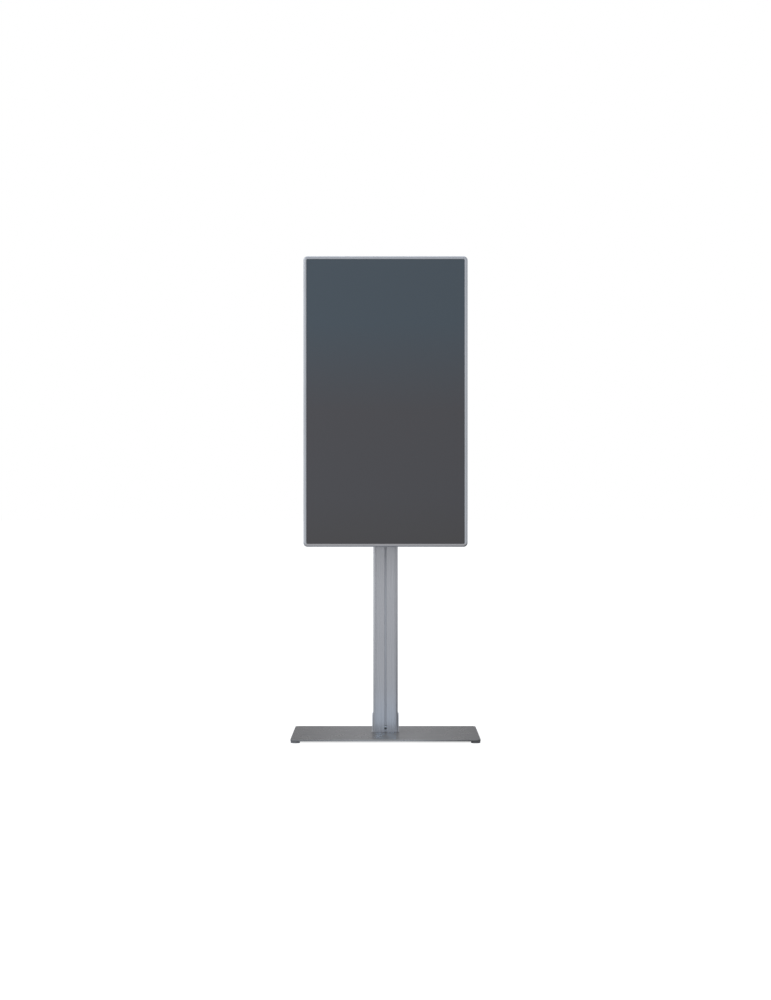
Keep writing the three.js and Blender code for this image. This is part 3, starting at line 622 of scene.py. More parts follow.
area("key", (-4.5, -3.5, 4.6), (0, 0, 1.0), (3.0, 3.0), 70)
area("top", (0.0, 0.4, 5.2), (0, 0, 0.0), (4.0, 3.0), 40)
foot_fill = area("foot", (0.0, -3.2, 0.34), (0, 0.01, 0.03), (0.5, 0.12), 0.042, (0.50, 0.74, 1.0), 7)

floor_mesh = bpy.data.meshes.new("floor")
floor_mesh.from_pydata([(-400, -400, 0), (400, -400, 0), (400, 400, 0), (-400, 400, 0)], [], [(0, 1, 2, 3)])
floor = bpy.data.objects.new("floor", floor_mesh)
sc.collection.objects.link(floor)
fm = bpy.data.materials.new("floor_pale")
fm.use_nodes = True
fn = fm.node_tree
for n in list(fn.nodes):
    if n.type == "BSDF_PRINCIPLED":
        fn.nodes.remove(n)
f_out = [n for n in fn.nodes if n.type == "OUTPUT_MATERIAL"][0]
# what the lens sees: a pale sweep that keeps a light contact shadow
glow = fn.nodes.new("ShaderNodeEmission")
glow.inputs["Color"].default_value, glow.inputs["Strength"].default_value = (1, 1, 1, 1), FLOOR_GLOW
dif = fn.nodes.new("ShaderNodeBsdfDiffuse")
dif.inputs["Color"].default_value = (FLOOR_DIFF, FLOOR_DIFF, FLOOR_DIFF, 1)
add = fn.nodes.new("ShaderNodeAddShader")
fn.links.new(glow.outputs[0], add.inputs[0])
fn.links.new(dif.outputs[0], add.inputs[1])
# what the object sees: soft bounce, falling off to the right
ftc = fn.nodes.new("ShaderNodeTexCoord")
flen = fn.nodes.new("ShaderNodeVectorMath"); flen.operation = "LENGTH"
fn.links.new(ftc.outputs["Object"], flen.inputs[0])
fnor = fn.nodes.new("ShaderNodeVectorMath"); fnor.operation = "NORMALIZE"
fn.links.new(ftc.outputs["Object"], fnor.inputs[0])
fsx = fn.nodes.new("ShaderNodeSeparateXYZ")
fn.links.new(fnor.outputs["Vector"], fsx.inputs["Vector"])
bounce = fn.nodes.new("ShaderNodeEmission")
fn.links.new(ramp2(fn, flen.outputs["Value"], 0.2, 2.6, (0.82, 0.92, 1.04), (1.0, 1.0, 1.0)), bounce.inputs["Color"])
near = fn.nodes.new("ShaderNodeMapRange")
near.interpolation_type = "SMOOTHSTEP"
fn.links.new(flen.outputs["Value"], near.inputs["Value"])
for k, v in (("From Min", 0.1), ("From Max", 0.5), ("To Min", NEAR), ("To Max", 1.0)):
    near.inputs[k].default_value = v
mul = fn.nodes.new("ShaderNodeMath"); mul.operation = "MULTIPLY"
fn.links.new(near.outputs["Result"], mul.inputs[0])
fade = fn.nodes.new("ShaderNodeMapRange")
fade.interpolation_type = "SMOOTHSTEP"
fn.links.new(flen.outputs["Value"], fade.inputs["Value"])
fade.inputs["From Min"].default_value, fade.inputs["From Max"].default_value = 1.6, 9.0
both = fn.nodes.new("ShaderNodeMix")
both.data_type = "FLOAT"
fn.links.new(fade.outputs["Result"], both.inputs["Factor"])
flo = [s for s in both.inputs if s.type == "VALUE" and s.name in "AB"]
fn.links.new(side_light(fn, fsx.outputs["X"], FLOOR_L, FLOOR_F, FLOOR_R), flo[0])
fn.links.new(side_light(fn, fsx.outputs["X"], FAR_L, FAR_F, FAR_R), flo[1])
fn.links.new([s for s in both.outputs if s.type == "VALUE"][0], mul.inputs[1])
fn.links.new(mul.outputs[0], bounce.inputs["Strength"])
flp = fn.nodes.new("ShaderNodeLightPath")
fmix = fn.nodes.new("ShaderNodeMixShader")
fn.links.new(flp.outputs["Is Camera Ray"], fmix.inputs[0])
fn.links.new(bounce.outputs[0], fmix.inputs[1])
fn.links.new(add.outputs[0], fmix.inputs[2])
fn.links.new(fmix.outputs[0], f_out.inputs["Surface"])
floor_mesh.materials.append(fm)
floor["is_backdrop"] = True

# --------------------------------------------------------------------------
# base plate, feet, foot
# --------------------------------------------------------------------------
BW, BD = 812.0, 500.0
p = Piece()
p.plate(MAT["base"], rrect(BW, BD, 20, 18), [], 8.0, 16.0, 0.9, XY, 3)
p.done("BasePlate", "stand", "base_plate", slot="base_paint")

foot = fillet([(0, 0), (18.8, 0), (20, 1.2), (20, 2.6), (19.5, 3.0), (19.5, 3.4), (20, 3.8), (20, 6.4), (18.9, 7.7), (4.0, 7.7)], [0, 0.8, 0.6, 0.15, 0.15, 0.15, 0.15, 0.8, 0.5, 0], 3, False)
stud = [(4.0, 7.7), (4.0, 8.2)]
for i in range(6):                      # thread of the stud
    stud += [(4.0, 8.4 + i), (3.45, 8.9 + i)]
stud += [(3.4, 14.4), (0, 14.4)]
for fy, sy in (("front", -1), ("rear", 1)):
    for fx, s_x in (("left", -1), ("right", 1)):
        p = Piece()
        at = (s_x * 385.0, sy * 229.5, 0)
        p.lathe(MAT["glide"], [*foot, (0, 7.7)], "+z", at, 72)
        p.lathe(MAT["zinc"], [(0, 7.65), *stud], "+z", at, 32)
        p.done(f"Glide_{fy}_{fx}", f"foot_{fy}_{fx}", f"levelling_foot_{fy}_{fx}", slot="glide_rubber")


def socket_screw(p, mat, at, axis, r, h, shank_r, shank_l, hex_r, depth, knurl=False, rim=0.5, n=48):
    """Cap screw: its head's outer face is at `at`, the shank runs along axis."""
    prof = [(0, 0), *fillet([(0, 0), (r, 0), (r, h), (shank_r, h)], [0, rim, 0.15, 0], 4, False)[1:], (shank_r, h + shank_l), (0, h + shank_l)]
    q = Piece(p.off)
    q.lathe(mat, prof, axis, at, n)
    c = Piece(p.off)
    back = {"+y": (0, -1, 0), "-y": (0, 1, 0), "+x": (-1, 0, 0), "-x": (1, 0, 0), "+z": (0, 0, -1), "-z": (0, 0, 1)}[axis]
    start = Vector(at) + Vector(back) * 1.0
    c.lathe(mat, [(0, 0), (hex_r, 0), (hex_r, depth + 1.0), (hex_r * 0.3, depth + 1.0 + hex_r * 0.35), (0, depth + 1.0 + hex_r * 0.4)], axis, start, 6)
    q.cut(c)
    me = bpy.data.meshes.new("tmp")
    q.bm.to_mesh(me); q.bm.free()
    i = p._index(mat)
    for poly in me.polygons:
        poly.material_index = i
    p.bm.from_mesh(me)
    bpy.data.meshes.remove(me)


def button_screw(p, mat, at, axis, r, h, shank_r, shank_l, hex_r, n=40):
    prof = [(0, 0), (r * 0.55, 0), (r * 0.78, h * 0.16), (r * 0.93, h * 0.45), (r, h * 0.85), (r, h), (shank_r, h), (shank_r, h + shank_l), (0, h + shank_l)]
    q = Piece(p.off)
    q.lathe(mat, prof, axis, at, n)
    c = Piece(p.off)
    back = {"+y": (0, -1, 0), "-y": (0, 1, 0), "+x": (-1, 0, 0), "-x": (1, 0, 0)}[axis]
    start = Vector(at) + Vector(back) * 1.0
    c.lathe(mat, [(0, 0), (hex_r, 0), (hex_r, h * 0.7 + 1.0), (0, h * 0.85 + 1.0)], axis, start, 6)
    q.cut(c)
    me = bpy.data.meshes.new("tmp")
    q.bm.to_mesh(me); q.bm.free()
    i = p._index(mat)
    for poly in me.polygons:
        poly.material_index = i
    p.bm.from_mesh(me)
    bpy.data.meshes.remove(me)


# column section, y measured from its front face
CY = 10.0


def column_section():
    H, R, Q, n = 54.0, 10.0, 6.0, 12
    right = [(4.1, 0.35), (4.45, 0), (41.3, 0), (41.75, 0.75), (42.0, 0.9), (42.25, 0.75), (42.7, 0)]
    right += [(H - R + R * math.cos(math.radians(-90 + 90 * i / n)), R + R * math.sin(math.radians(-90 + 90 * i / n))) for i in range(n + 1)]
    right += [(H - Q + Q * math.cos(math.radians(90 * i / n)), 80 - Q + Q * math.sin(math.radians(90 * i / n))) for i in range(n + 1)]
    right += [(36.4, 80), (36, 79.6), (36, 76.5), (50.5, 76.5), (50.5, 16)]
    left = [(-x, y) for x, y in reversed(right)]
    return right + left + [(-4.1, 4.5), (-10, 4.5), (-10, 13), (10, 13), (10, 4.5), (4.1, 4.5)]


COL = [(x, y + CY) for x, y in column_section()]
p = Piece()
chambers = [box2(s * 32 - 18.3, CY + 3.5, s * 32 + 18.3, CY + 12.8, 1.5, 4) for s in (-1, 1)]
chambers = [box2(13.5, CY + 3.5, 48.5, CY + 12.8, 1.2, 4), box2(-48.5, CY + 3.5, -13.5, CY + 12.8, 1.2, 4)]
p.plate(MAT["column"], COL, chambers, 16.3, 1640.0, 0.0, XY, 0)
c1 = Piece(); c1.lathe(MAT["column"], [(0, 0), (6.1, 0), (5.6, 1.5), (5.6, 5.6), (0, 5.6)], "+y", (0, CY - 1, 33), 40)
c2 = Piece(); c2.lathe(MAT["column"], [(0, 0), (3.3, 0), (3.3, 5), (0, 5)], "+y", (0, CY + 12, 33), 24)
c3 = Piece(); c3.lathe(MAT["column"], [(0, 0), (3.3, 0), (3.3, 8), (0, 8)], "+x", (48.5, 38, 62), 24)
c4 = Piece(); c4.lathe(MAT["column"], [(0, 0), (3.3, 0), (3.3, 8), (0, 8)], "-x", (-48.5, 38, 62), 24)
p.cut(c1, c2, c3, c4)
p.done("Column", "stand", "column", slot="column_alu", sharp=28)

strip = fillet([(-3.8, 0.5), (3.8, 0.5), (3.8, 4.8), (7, 4.8), (7, 6), (-7, 6), (-7, 4.8), (-3.8, 4.8)], [0.5, 0.5, 0.2, 0.3, 0.3, 0.3, 0.3, 0.2], 3)
p = Piece()
p.plate(MAT["strip"], [(x, y + CY) for x, y in strip], [], 47.5, 1150.0, 0.2, XY, 1)
# painted shadow: a black plate fills the gap below the strip, standing in for the dark slot interior
p.plate(MAT["black"], box2(-3.7, CY + 0.9, 3.7, CY + 6.0, 0.5, 2), [], 44.5, 47.2, 0.3, XY, 1)
p.done("SlotStrip", "stand", "front_slot_strip", slot="slot_grey")

end = fillet([(-3.8, 0.6), (3.8, 0.6), (3.8, 4.8), (9.6, 4.8), (9.6, 12.7), (-9.6, 12.7), (-9.6, 4.8), (-3.8, 4.8)], 0.3, 2)
p = Piece()
p.plate(MAT["zinc_die"], [(x, y + CY) for x, y in end], [], 16.5, 44.0, 0.3, XY, 1)
c1 = Piece(); c1.lathe(MAT["zinc"], [(0, 0), (5.6, 0), (5.6, 7.6), (0, 7.6)], "+y", (0, CY - 1, 33), 40)
c2 = Piece(); c2.lathe(MAT["zinc"], [(0, 0), (3.3, 0), (3.3, 14), (0, 14)], "+y", (0, CY, 33), 24)
p.cut(c1, c2)
p.done("SlotEndBlock", "stand", "slot_end_block", slot="zinc_block")
p = Piece()
socket_screw(p, MAT["black_oxide"], (0, CY + 0.4, 33), "+y", 5.0, 5.9, 3.0, 27.0, 2.9, 3.0, rim=0.6)
p.done("SlotEndScrew", "stand", "slot_end_screw", slot="black_oxide")

# cheeks with a painted weld bead
for name, s in (("left", -1), ("right", 1)):
    y0, y1, z0, z1 = 20.5, 83.5, 16.3, 97.0
    out = fillet([(y0, z0), (y1, z0), (y1, z1), (y0, z1)], [0.6, 0.6, 16, 16], 14)
    p = Piece()
    lo, hi = sorted((s * 54.3, s * 58.3))
    p.plate(MAT["cheek"], out, [circle(6.2, 36, 38, 62)], lo, hi, 0.7, YZ, 3)
    # bead: quarter-round with ripples, along Y
    rings = []
    for i in range(128):
        y = y0 + 1 + (y1 - y0 - 2) * i / 127
        end_f = min(1.0, i / 5, (127 - i) / 5)
        r = (2.9 + 0.22 * math.sin(i * 1.55) + 0.12 * math.sin(i * 0.37)) * (0.35 + 0.65 * math.sqrt(max(end_f, 0.02)))
        ring = [(s * 58.2, y, z0 + 0.05)]
        for k in range(9):
            a = math.radians(90 * k / 8)
            bulge = 1 + 0.08 * math.sin(2 * a)
            ring.append((s * (58.2 + r * bulge * math.cos(a)), y + 0.25 * math.sin(a * 2), z0 + 0.05 + r * bulge * math.sin(a)))
        rings.append(ring)
    v, f = sweep_loop(rings, False)
    k = len(rings[0])
    f += [tuple(range(k)), tuple(range(len(v) - k, len(v)))[::-1]]
    p.raw(MAT["base"], v, f)
    p.done(f"FootCheek_{name}", "stand", f"foot_cheek_{name}", slot="cheek_paint")
    p = Piece()
    ax = "-x" if s > 0 else "+x"
    q = Piece()
    q.lathe(MAT["zinc"], [(0, 0), (5.6, 0), (5.9, 0.3), (3.0, 3.6), (3.0, 16), (0, 16)], ax, (s * 58.2, 38, 62), 40)
    c = Piece(); c.lathe(MAT["zinc"], [(0, 0), (2.3, 0), (2.3, 3.0), (0, 3.6)], ax, (s * 59.2, 38, 62), 6)
    q.cut(c)
    q.done(f"CheekScrew_{name}", "stand", f"cheek_screw_{name}", slot="zinc_steel")

p = Piece()
p.box(MAT["steel"], (-50.2, 26.3, 16.3), (50.2, 52, 95), 1.2, 3)
p.done("FootSpigot", "stand", "foot_spigot", slot="zinc_steel")

# cap
p = Piece()
p.plate(MAT["cap"], rrect(108, 80, 9.5, 14, 0, 50), [], 1640.3, 1644.3, 1.4, XY, 4)
p.box(MAT["cap"], (-49.5, 27, 1628), (49.5, 80, 1640.4), 1.5, 2)
p.done("ColumnCap", "stand", "column_top_cap", slot="slot_grey")

# clip-on duct cover: a shallow crowned face with two finger grooves' lines
cov = [(-35.6, 79.0), (-35.6, 77), (-34.8, 77), (-34.8, 76), (-38, 75.2), (-38, 74), (-34.8, 72), (-32.8, 72), (-32.8, 77)]
cov = cov + [(-x, y) for x, y in reversed(cov)]
face = [(35.6, 79.0), (35.1, 79.6), (25.4, 79.6), (25, 79.2), (24.6, 79.6), (-24.6, 79.6), (-25, 79.2), (-25.4, 79.6), (-35.1, 79.6)]
ring = [(x, y + CY) for x, y in cov[:-1] + face]
p = Piece()
p.plate(MAT["column"], ring, [], 60, 1500, 0.0, XY, 0)
p.done("DuctCover", "stand", "rear_cable_cover", slot="column_alu", sharp=25)

# grommet: plate, raised collar
p = Piece()
p.plate(MAT["rubber"], rrect(71.2, 42.3, 3, 6, 0, 38.0), [circle(13, 48, 0, 37)], CY + 76.8, CY + 80, 0.7, XZ, 3)
col_ring = [(13.0, 0), (16.5, 0), (17.2, 0.6), (17.2, 1.2), (16.4, 2.0), (14.2, 2.0), (13.0, 1.2)]
rings = []
for i in range(56):
    a = 2 * math.pi * i / 56
    rings.append([(r * math.cos(a), CY + 79.4 + h * 0.8, 37 + r * math.sin(a)) for r, h in col_ring])
v, f = sweep_loop(rings, True)
p.raw(MAT["rubber"], v, f)
p.done("CableGrommet", "stand", "cable_grommet", slot="glide_rubber")

# --------------------------------------------------------------------------
# carriage and mounting plate
# --------------------------------------------------------------------------
PY = -28.0
p = Piece()
U = fillet([(-58.4, 50), (-58.4, 5.7), (58.4, 5.7), (58.4, 50), (54.4, 50), (54.4, 9.7), (-54.4, 9.7), (-54.4, 50)], [0.8, 5.0, 5.0, 0.8, 0.8, 1.0, 1.0, 0.8], 7)
p.plate(MAT["paint_black"], U, [], 1382, 1542, 0.6, XY, 2)
p.plate(MAT["paint_black"], rrect(96, 180, 6, 8, 0, HZ), [circle(4.35, 28, 0, HZ + 70), circle(4.35, 28, 0, HZ - 70)], 5.72, 9.68, 0.6, XZ, 2)


def ear(y_root, root, r, side, steps=18):
    pts = [(y_root, HZ + root), (y_root, HZ - root)]
    for i in range(steps + 1):
        t = math.radians(-90 + 180 * i / steps)
        pts.append((PY - side * r * math.cos(t), HZ + r * math.sin(t)))
    return pts


for s in (-1, 1):
    lo, hi = sorted((s * 46.0, s * 50.0))
    p.plate(MAT["paint_black"], ear(7.0, 60, 22, 1), [circle(5.35, 36, PY, HZ)], lo, hi, 0.7, YZ, 2)
    # weld fillets at the ears' roots
    for side in (-1, 1):
        x = s * 48 + side * 2.0
        rings = []
        for i in range(70):
            z = HZ - 57 + 114 * i / 69
            r = 2.3 + 0.22 * math.sin(i * 1.7)
            rings.append([(x, 5.75, z), (x + side * r, 5.75, z), (x + side * r * 0.62, 5.75 - r * 0.62, z), (x, 5.75 - r, z)])
        v, f = sweep_loop(rings, False)
        f += [(0, 1, 2, 3), tuple(range(len(v) - 4, len(v)))[::-1]]
        p.raw(MAT["paint_black"], v, f)
p.done("CarriageBracket", "carriage", "carriage_bracket", slot="bracket_paint")

for name, s in (("upper", 1), ("lower", -1)):
    z = HZ + s * 70
    p = Piece()
    button_screw(p, MAT["zinc"], (0, 0.7, z), "+y", 7.0, 4.7, 4.0, 16.9, 2.9)
    p.done(f"CarriageBolt_{name}", "carriage", f"carriage_bolt_{name}", slot="zinc_steel")
    p = Piece()
    p.plate(MAT["zinc"], rrect(19, 24, 1.5, 4, 0, z), [circle(4.3, 28, 0, z)], CY + 4.8, CY + 12.4, 0.6, XZ, 2)
    p.done(f"SlotNut_{name}", "carriage", f"slot_nut_{name}", slot="zinc_steel")

for name, s in (("left", -1), ("right", 1)):
    ax = "-x" if s > 0 else "+x"
    p = Piece()
    # hexagon head with chamfered corners, washer face, threaded shank
    q = Piece()
    q.lathe(MAT["zinc"], [(0, 0), (9.8, 0), (9.8, 6.0), (0, 6.0)], ax, (s * 61.5, PY, HZ), 6)
    q2 = Piece()
    q2.lathe(MAT["zinc"], [(0, 0), (8.4, 0), (9.8, 0.8), (9.8, 5.4), (9.0, 6.0), (0, 6.0)], ax, (s * 61.5, PY, HZ), 60)
    me = bpy.data.meshes.new("a"); q2.bm.to_mesh(me); q2.bm.free()
    co = bpy.data.objects.new("a", me); sc.collection.objects.link(co)
    me2 = bpy.data.meshes.new("b"); q.bm.to_mesh(me2); q.bm.free()
    ob = bpy.data.objects.new("b", me2); sc.collection.objects.link(ob)
    mod = ob.modifiers.new("i", "BOOLEAN"); mod.operation, mod.solver, mod.object = "INTERSECT", "EXACT", co
    dg = bpy.context.evaluated_depsgraph_get(); dg.update()
    out = bpy.data.meshes.new_from_object(ob.evaluated_get(dg))
    bpy.data.objects.remove(ob); bpy.data.objects.remove(co)
    p.take(out, MAT["zinc"])
    th = [(0, 6.0), (8.6, 6.0), (8.6, 6.5), (5, 6.5), (5, 12.0)]
    for i in range(7):
        th += [(5.0, 12.2 + i * 0.9), (4.5, 12.65 + i * 0.9)]
    th += [(4.4, 19.2), (0, 19.2)]
    p.lathe(MAT["zinc"], th, ax, (s * 61.5, PY, HZ), 40)
    p.done(f"PivotBolt_{name}", "carriage", f"pivot_bolt_{name}", slot="zinc_steel")

# mounting plate
p = Piece()
holes = [rrect(110, 250, 14, 8, s * 125, HZ) for s in (-1, 1)] + [rrect(80, 90, 12, 8, 0, HZ + s * 135) for s in (-1, 1)]
holes += [circle(4.5, 28, a * 200, HZ + b * 200) for a in (-1, 1) for b in (-1, 1)]
holes += [circle(3.2, 20, a * 100, HZ + b * 200) for a in (-1, 1) for b in (-1, 1)]
holes += [circle(3.2, 20, a * 200, HZ + b * 100) for a in (-1, 1) for b in (-1, 1)]
p.plate(MAT["paint_black"], rrect(440, 440, 24, 14, 0, HZ), holes, HY + 72.3, HY + 76.3, 0.7, XZ, 2)
for s in (-1, 1):
    lo, hi = sorted((s * 50.4, s * 54.4))
    p.plate(MAT["paint_black"], ear(HY + 73.5, 62, 20, -1), [circle(5.35, 36, PY, HZ)], lo, hi, 0.7, YZ, 2)
    for side in (-1, 1):
        x = s * 52.4 + side * 2.0
        yb = HY + 76.25
        rings = []
        for i in range(70):
            z = HZ - 59 + 118 * i / 69
            r = 2.3 + 0.22 * math.sin(i * 1.7 + 1)
            rings.append([(x, yb, z), (x + side * r, yb, z), (x + side * r * 0.62, yb + r * 0.62, z), (x, yb + r, z)])
        v, f = sweep_loop(rings, False)
        f += [(0, 1, 2, 3), tuple(range(len(v) - 4, len(v)))[::-1]]
        p.raw(MAT["paint_black"], v, f)
p.done("MountPlate", "head", "mount_plate", slot="head_paint")
for nz, sz in (("upper", 1), ("lower", -1)):
    for nx, s_x in (("left", -1), ("right", 1)):
        p = Piece()
        at = (s_x * 200, HY + 81.3, HZ + sz * 200)
        button_screw(p, MAT["zinc"], at, "-y", 7.0, 4.7, 4.0, 20.3, 2.9)
        p.done(f"VesaScrew_{nz}_{nx}", "head", f"vesa_screw_{nz}_{nx}", slot="zinc_steel")

# --------------------------------------------------------------------------
# head: frame rails, corner keys, glass, screen stack
# --------------------------------------------------------------------------
prof = [(0, 7.5)]
for i in range(1, 13):
    a = math.radians(180 + 90 * i / 12)
    prof.append((7.5 + 7.5 * math.cos(a), 7.5 + 7.5 * math.sin(a)))
prof += [(12.6, 0.0), (12.88, 0.12), (13.0, 0.4), (13.0, 1.35), (12.8, 1.6), (3.0, 1.6), (3.0, 21.3), (9.8, 21.3), (10, 21.5), (10, 23.1), (9.8, 23.3), (3.0, 23.3),
         (3.0, 40.6), (11.8, 40.6), (12, 40.8), (12, 42.5), (11.8, 42.7), (3.0, 42.7), (3.0, 44.7), (2.7, 45.0), (0.4, 45.0), (0.0, 44.6)]
HW, HH, HR = 355.0, 628.0, 18.0


def rail(side):
    n = 12
    dl = 0.35
    if side in ("top", "bottom"):
        angles = [(-1, 135 - dl + (90 - 135 + dl) * i / n) for i in range(n + 1)] + [(1, 90 + (45 + dl - 90) * i / n) for i in range(n + 1)]
        pts = lambda w, c, a: (c * (HW - HR) + (HR - w) * math.cos(math.radians(a)), (HH - HR) + (HR - w) * math.sin(math.radians(a)))
    else:
        angles = [(1, 45 - dl + (0 - 45 + dl) * i / n) for i in range(n + 1)] + [(-1, 0 + (-45 + dl) * i / n) for i in range(n + 1)]
        pts = lambda w, c, a: ((HW - HR) + (HR - w) * math.cos(math.radians(a)), c * (HH - HR) + (HR - w) * math.sin(math.radians(a)))
    rings = []
    for c, a in angles:
        ring = []
        for w, d in prof:
            x, z = pts(w, c, a)
            if side == "bottom":
                z = -z
            if side == "left":
                x = -x
            ring.append((x, HY + d, HZ + z))
        rings.append(ring)
    v, f = sweep_loop(rings, False)
    k = len(prof)
    f += cap(prof, 0, True) + cap(prof, len(v) - k, False)
    p = Piece()
    # the bottom rail takes the darker copy of the frame aluminium, a painted shade
    p.raw(MAT[{"top": "frame_x", "bottom": "frame_bottom_shade"}.get(side, "frame_z")], v, f)
    p.done(f"FrameRail_{side}", "head", f"frame_rail_{side}", slot="frame_alu", sharp=24)


for side in ("top", "bottom", "left", "right"):
    rail(side)

for nz, sz in (("top", 1), ("bottom", -1)):
    for nx, s_x in (("left", -1), ("right", 1)):
        w, t, L = 3.4, 4.6, 70.0
        a, b, c = HW - w, HH - w, HR - w
        pts = [(a - L, b), (a - c, b)]
        for i in range(1, 8):
            q = math.radians(90 - 90 * i / 8)
            pts.append((a - c + c * math.cos(q), b - c + c * math.sin(q)))
        pts += [(a, b - c), (a, b - L), (a - t, b - L), (a - t, b - c), (a - c, b - t), (a - L, b - t)]
        p = Piece(HEAD)
        p.plate(MAT["zinc"], [(s_x * x, sz * z) for x, z in pts], [], 27, 37, 0.5, XZ, 2)
        p.done(f"CornerKey_{nz}_{nx}", "head", f"corner_key_{nz}_{nx}", slot="zinc_steel")


def sheet_rr(w, n=8):
    return rrect(710 - 2 * w, 1256 - 2 * w, max(18 - w, 2), n)


p = Piece(HEAD); p.plate(MAT["glass"], sheet_rr(4, 14), [], 1.9, 5.9, 0.6, XZ, 3); p.done("CoverGlass", "head", "cover_glass", slot="cover_glass")
p = Piece(HEAD); p.plate(MAT["film"], sheet_rr(7), [], 6.2, 6.8, 0.1, XZ, 1); p.done("TouchFilm", "head", "touch_film", slot="touch_film")
p = Piece(HEAD); p.plate(MAT["black_soft"], sheet_rr(4), [sheet_rr(10)], 7.1, 8.9, 0.4, XZ, 2); p.done("GlassGasket", "head", "glass_gasket", slot="gasket_foam")
p = Piece(HEAD); p.plate(MAT["panel"], sheet_rr(8), [], 9.2, 11.4, 0.2, XZ, 1); p.done("LcdCell", "head", "lcd_cell", slot="panel_glass")
p = Piece(HEAD); p.plate(MAT["white"], sheet_rr(8.5), [], 11.7, 13.0, 0.15, XZ, 1); p.done("OpticalSheets", "head", "optical_sheets", slot="white_plastic")
p = Piece(HEAD); p.plate(MAT["clear"], rrect(678, 1228, 1, 3), [], 13.3, 17.3, 0.3, XZ, 1); p.done("LightGuide", "head", "light_guide", slot="white_plastic")
for name, s in (("left", -1), ("right", 1)):
    p = Piece(HEAD)
    lo, hi = sorted((s * 341.6, s * 345.0))
    p.box(MAT["white"], (lo, 13.4, -605), (hi, 19, 605), 0.3, 1)
    for i in range(60):
        z = -590 + 20 * i
        a, b = sorted((s * 341.7, s * 340.6))
        p.box(MAT["film"], (a, 14.2, z - 2.8), (b, 16.8, z + 2.8), 0.2, 1)
    p.done(f"LedBar_{name}", "head", f"led_bar_{name}", slot="white_plastic")

# tray: floor, rim walls, bosses
p = Piece(HEAD)
p.plate(MAT["zinc"], sheet_rr(4.2, 8), [], 19.4, 21.0, 0.4, XZ, 2)
p.plate(MAT["zinc"], sheet_rr(4.2, 8), [sheet_rr(6.2, 8)], 9.2, 19.5, 0.4, XZ, 2)
for s in (-1, 1):
    for sz in (-1, 1):
        prof_b = [(4.35, 0), (8, 0), (8, 49.2), (7.5, 49.7), (4.9, 49.7), (4.35, 49.2)]
        rings = []
        for i in range(36):
            a = 2 * math.pi * i / 36
            rings.append([(s * 200 + r * math.cos(a), 20 + h, sz * 200 + r * math.sin(a)) for r, h in prof_b])
        v, f = sweep_loop(rings, True)
        p.raw(MAT["zinc"], v, f)
p.done("BacklightTray", "head", "backlight_tray", slot="zinc_steel")

# --------------------------------------------------------------------------
# rear cover: rim, sloped shell, back with openings and vents
# --------------------------------------------------------------------------
DOOR = (76, 256, -482, -232)
IO = (-256, -76, -482, -332)
p = Piece(HEAD)


def pan_loop(w, n=12):
    return rrect(600 - 2 * w, 1080 - 2 * w, max(30 - w, 3.0), n)


outer = fillet([(-2, 45), (0, 45), (27, 72), (36, 72)], [0, 7, 10, 0], 8, False)
outer[0] = (-2, 45)
inner = fillet([(36, 70), (27.83, 70), (0.83, 43), (-2, 43)], [0, 8, 5, 0], 8, False)
profile = outer + inner
path_n = len(pan_loop(0))
rings = []
loops = [pan_loop(w) for w, d in profile]
for i in range(path_n):
    rings.append([(loops[j][i][0], profile[j][1], loops[j][i][1]) for j in range(len(profile))])
v, f = sweep_loop(rings, True)
p.raw(MAT["paint_dark"], v, f)


def slot_hole(cx, z0, z1, w):
    r = w / 2
    return [(cx + r * math.cos(math.radians(a)), z1 - r + r * math.sin(math.radians(a))) for a in range(0, 181, 30)] + \
           [(cx + r * math.cos(math.radians(a)), z0 + r + r * math.sin(math.radians(a))) for a in range(180, 361, 30)]


rim_holes = [pan_loop(-2)]
for s in (-1, 1):
    for i in range(9):
        rim_holes.append(slot_hole(s * (150 + i * 12), -592, -564, 3.8))
p.plate(MAT["paint_dark"], rrect(703.4, 1249.4, 14.7, 12), rim_holes, 43, 45, 0.0, XZ, 0)
back_holes = [box2(DOOR[0], DOOR[2], DOOR[1], DOOR[3], 4, 6), box2(IO[0], IO[2], IO[1], IO[3], 4, 6)]
back_holes += [circle(4.5, 24, a * 200, b * 200) for a in (-1, 1) for b in (-1, 1)]
back_holes += [slot_hole(i * 14, 410, 470, 3.8) for i in range(-9, 10)]
back_holes += [slot_hole(i * 14, -470, -410, 3.8) for i in range(-3, 4)]
p.plate(MAT["paint_dark"], pan_loop(36), back_holes, 70, 72, 0.0, XZ, 0)
# lugs of the door hinge
for c in (-357 - 85, -357 + 85):
    for z0, z1 in ((c - 25, c - 15.4), (c + 15.4, c + 25)):
        p.box(MAT["paint_dark"], (254.6, 72.5, z0), (261, 78, z1), 1.6, 3)
        p.box(MAT["paint_dark"], (256.4, 71.6, z0), (261, 75, z1), 0.5, 2)
p.done("RearCover", "head", "rear_cover", slot="head_paint", sharp=24)

